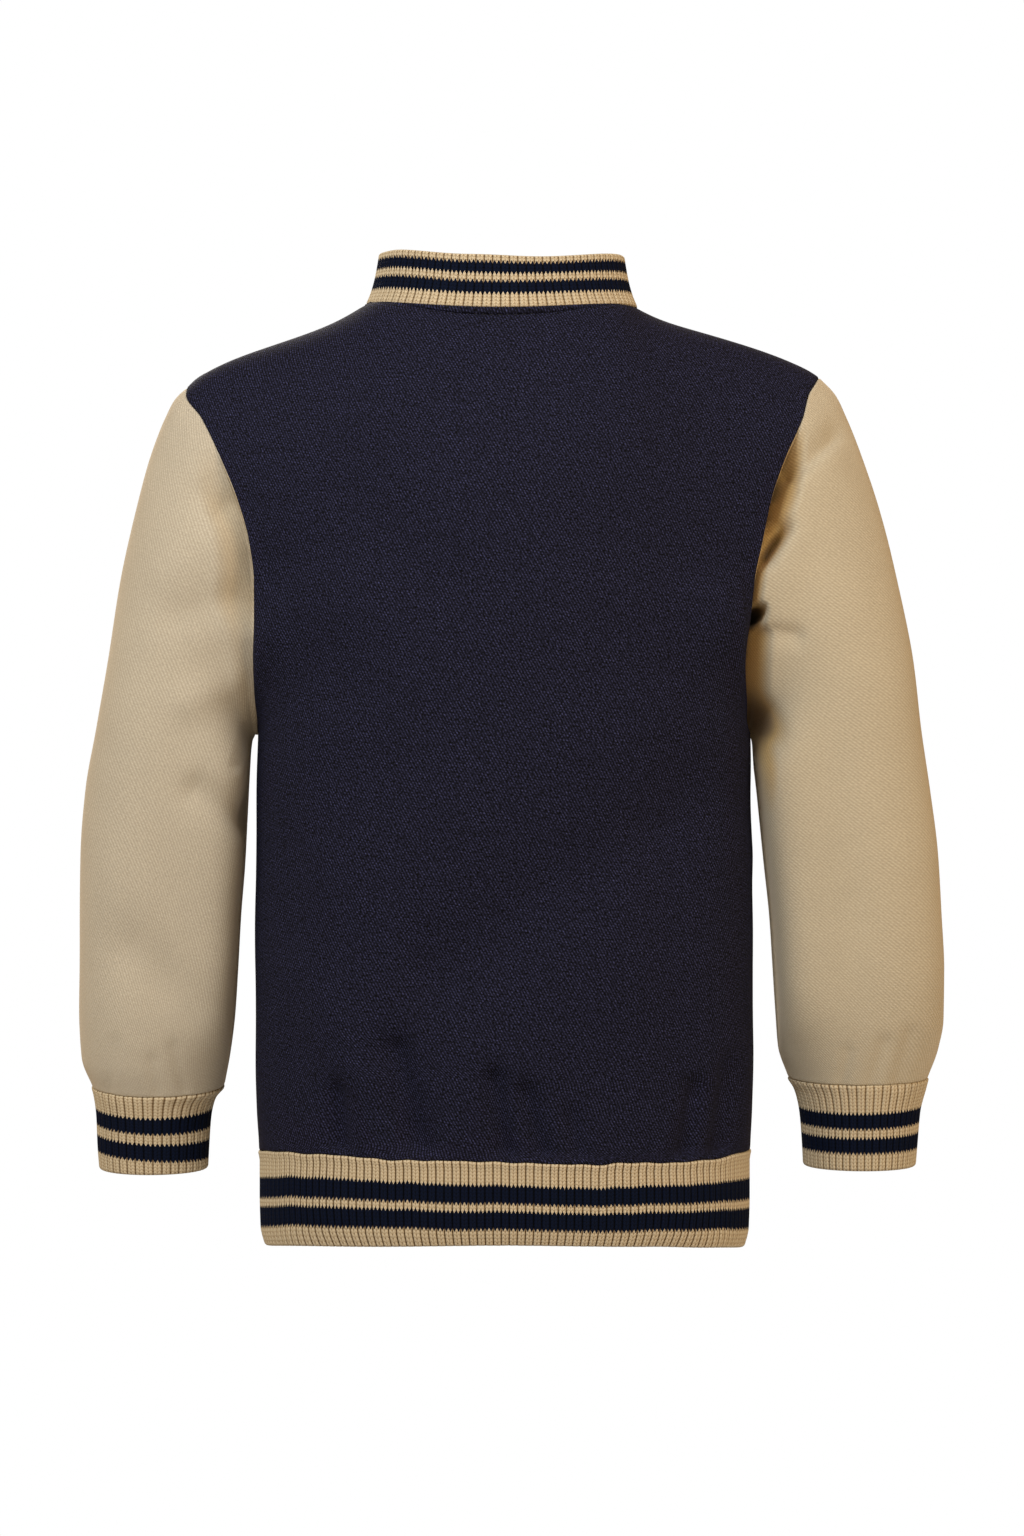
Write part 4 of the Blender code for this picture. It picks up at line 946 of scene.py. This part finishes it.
# The ribs lean outwards at the fold near the sides, and beside them they bow.
fan = 0.0034 * np.clip(seam[:, 0] / 0.080, -1, 1) * abs(inwards[:, 1])
bow = 0.0016 * np.exp(-(((abs(seam[:, 0]) - 0.082) / 0.018) ** 2)) * np.sign(seam[:, 0]) * abs(inwards[:, 1])
grid[..., 0] += fan * smooth((rib_rows - 0.72) / 0.28)[:, None] * smooth((abs(seam[:, 0]) - 0.080) / 0.020)
grid[..., 0] += bow * (np.sin(math.pi * rib_rows) - rib_rows**2)[:, None]
hem_grid = grid  # the collar's grid takes the name next, and a snap stands on this one
hem_rib = rib_knit("striped_cotton_rib_hem", SAND, NAVY, (0.276, 0.496, 0.580, 0.796), 0.038, 0.30)
lifted = read(HEM_STRIPES, "lift", "x", seam[:, 0])[None] * smooth(rib_rows / 0.25)[:, None]
lifted = lifted * smooth((1 - rib_rows) / 0.15)[:, None]
piece = add_rib("hem_band", grid, lines, False, hem_rib, lifted)
belongs(piece, "hem_rib")


# The collar: the same rib knit folded double. It stands on the neckline from one front edge round the back to
# the other, leans in towards the neck, and its two ends are rounded.
COLLAR_ROWS = table("up lean", (0.0, 0.0), (0.20, 0.33), (0.50, 0.66), (0.80, 0.88), (1.0, 1.0))
on_collar = (out[::-1] <= NECK_SHARE) & (out[::-1] >= 0.012)
front_neck = {side: fronts[side][-1][: len(out)][on_collar] for side in fronts}
back_neck = back[-1][abs(across_back) <= NECK_SHARE][::-1]
lines = rib_lines(86)
seam = resample(np.concatenate([front_neck["left"][::-1], back_neck[1:-1], front_neck["right"]]), lines)
inwards = drawn_in(seam)
from_end = arc_lengths(seam, 0)
from_end = np.minimum(from_end, from_end[-1] - from_end)
height = round_height(inwards, 0.0240, 0.0228, 0.0215, 2.0)
behind = smooth((seam[:, 1] - 0.010) / 0.020)
height += behind * 0.0019 * np.exp(-(((seam[:, 0] - 0.010) / 0.027) ** 2))
height += behind * 0.0011 * smooth((seam[:, 0] - 0.018) / 0.030)
height *= 1 - 0.34 * (1 - np.clip(from_end / 0.029, 0, 1)) ** 2.3
grid = (
    seam
    + inwards * (0.0062 * read(COLLAR_ROWS, "lean", "up", rib_rows))[:, None, None]
    + height[:, None] * np.array([0, 0, 1]) * rib_rows[:, None, None]
)
collar_rib = rib_knit("striped_cotton_rib_collar", SAND, NAVY, (0.268, 0.508, 0.650, 0.862), 0.0240, 0.45)
wander = 0.010 * np.sin(seam[:, 0] * 88 + 0.6)[None] * np.sin(math.pi * rib_rows)[:, None]
piece = add_rib("collar_rib", grid, lines, False, collar_rib, wander)
belongs(piece, "collar")


# The topstitching: navy polyester thread, one row 4 mm below the collar all round, and one 5 mm in from the
# edge of the left front. Real stitches are about 3 mm long with a small gap.
def line_on(points, n, off):
    """Points and normals along a grid's columns, off below its last row, between the two rows next to it."""
    length = arc_lengths(points[::-1], 0)
    k = np.clip((length < off).sum(axis=0), 1, len(points) - 1)
    column = np.arange(points.shape[1])
    share = (off - length[k - 1, column]) / (length[k, column] - length[k - 1, column])
    return [mix(g[::-1][k - 1, column], g[::-1][k, column], share[:, None]) for g in (points, n)]


def add_stitches(name, path, n, node):
    """Stitches along a path on the cloth: each a bar 2.7 mm long and 0.7 mm thick, with eight-sided rings,
    that rises from the cloth and sinks back into it along half an ellipse."""
    length = arc_lengths(path, 0)
    count = int(length[-1] / 0.0035)
    along = np.linspace(-1, 1, 7)
    at = (np.arange(count) + 0.5)[:, None] * length[-1] / count + along * 0.00135
    centre = np.stack([np.interp(at, length, path[:, k]) for k in range(3)], -1)
    up = np.stack([np.interp(at, length, n[:, k]) for k in range(3)], -1)
    up /= np.linalg.norm(up, axis=-1, keepdims=True)
    side = np.cross(np.gradient(centre, axis=1), up)
    side /= np.linalg.norm(side, axis=-1, keepdims=True)
    bow = np.sqrt(1.02 - along**2)[None, :, None]
    centre = centre + up * (TWILL / 2 - 0.0002 + 0.0003 * bow)
    spin = (np.arange(8) * math.pi / 4)[None, None, :, None]
    ring = centre[:, :, None] + 0.00034 * bow[:, :, None] * (
        up[:, :, None] * np.sin(spin) + side[:, :, None] * np.cos(spin)
    )
    s, i, j = np.meshgrid(np.arange(count), np.arange(6), np.arange(8), indexing="ij")
    corner = [(s * 7 + i + a) * 8 + (j + b) % 8 for a, b in ((0, 0), (0, 1), (1, 1), (1, 0))]
    faces = np.stack(corner, -1).reshape(-1, 4)
    piece = add_mesh(name, ring.reshape(-1, 3), faces, np.zeros((len(faces), 4, 2)), thread)
    belongs(piece, node)


thread = bpy.data.materials.new("navy_polyester_thread")
thread.use_nodes = True
shader = thread.node_tree.nodes["Principled BSDF"]
shader.inputs["Base Color"].default_value = linear("#040409")
shader.inputs["Roughness"].default_value = 0.6
shader.inputs["Specular IOR Level"].default_value = 0.2
path, n = line_on(back_shape, normals(back_shape)[0], NECK_STITCH)
on_neck = abs(across_back) <= NECK_SHARE
add_stitches("back_neck_topstitch", path[on_neck], n[on_neck], "back")
for side in ("left", "right"):
    shape = front_shapes[side]
    path, n = line_on(shape, normals(shape)[0], NECK_STITCH)
    on_neck = (abs(path[:, 0]) < NECK_X) & (path[:, 0] * SIGN[side] > 0.004)
    add_stitches("front_" + side + "_neck_topstitch", path[on_neck], n[on_neck], "front_" + side)
turned, turned_n = (g.swapaxes(0, 1) for g in (front_shapes["left"], normals(front_shapes["left"])[0]))
path, n = line_on(turned, turned_n, 0.0050)
add_stitches("front_edge_topstitch", path[8:-60], n[8:-60], "front_left")


# The snaps: six brass press studs enamelled navy, each with a rolled rim and a low dome. Five close the
# fronts and one the hem band.
enamel = bpy.data.materials.new("navy_enamelled_brass")
enamel.use_nodes = True
shader = enamel.node_tree.nodes["Principled BSDF"]
scuff = add_node(enamel.node_tree, "TexNoise", {"Scale": 900, "Detail": 3})
enamel.node_tree.links.new(add_node(enamel.node_tree, "TexCoord").outputs["Object"], scuff.inputs["Vector"])
rough = add_node(enamel.node_tree, "MapRange", {1: 0.3, 2: 0.7, 3: 0.28, 4: 0.48}, {0: scuff.outputs["Fac"]})
enamel.node_tree.links.new(rough.outputs[0], shader.inputs["Roughness"])
shader.inputs["Base Color"].default_value = linear("#1a1b28")
shader.inputs["Metallic"].default_value = 0.6
STUD = table(
    "radius height",
    # In millimetres, from the middle of its back over the rolled rim to the top of its dome.
    (0.0, 0.0), (6.0, 0.0), (6.2, 0.3), (6.2, 0.7), (5.9, 1.2), (5.4, 1.45), (4.9, 1.4), (4.6, 1.15),
    (4.3, 1.2), (3.5, 1.8), (2.4, 2.25), (1.2, 2.5), (0.0, 2.6),
)
STUD_GAP = 0.00005  # from the cloth to the back of a cap


def add_stud(name, place, outwards):
    """The stud's profile turned once round its axis, which points outwards from its place on the cloth."""
    steps = 40
    spin = np.arange(steps) * math.pi / (steps // 2)
    radius, height = (STUD[column][:, None, None] / 1000 for column in ("radius", "height"))
    side = np.cross(outwards, [0, 0, 1])
    side /= np.linalg.norm(side)
    flat = side * np.cos(spin)[:, None] + np.cross(side, outwards) * np.sin(spin)[:, None]
    points = place + radius * flat + height * outwards
    row, column = grid_faces(len(points), steps, True)
    faces = (row * steps + column % steps)[:, ::-1]
    piece = add_mesh(name, points.reshape(-1, 3), faces, np.zeros((len(faces), 4, 2)), enamel)
    belongs(piece, name[:-4])


def stand_on(points, n, height, off):
    """The place off a column of the cloth at this height, and its normal."""
    order = np.argsort(points[:, 2])
    place, way = ([np.interp(height, points[order, 2], g[order, k]) for k in range(3)] for g in (points, n))
    return np.array(place) + off * np.array(way), np.array(way)


middle = len(out) - 1
cloth, n = front_shapes["left"][:, middle], normals(front_shapes["left"])[0][:, middle]
for k, height in enumerate(np.linspace(-0.0640, -0.3660, 5)):
    add_stud(f"snap_{k + 1}_cap", *stand_on(cloth, n, height, TWILL / 2 + STUD_GAP))
middle = np.argmin(abs(hem_grid[0, : hem_grid.shape[1] // 4, 0]))
cloth, n = hem_grid[:, middle], normals(hem_grid)[0][:, middle]
add_stud("snap_6_cap", *stand_on(cloth, n, -0.4096, RIB / 2 + STUD_GAP))
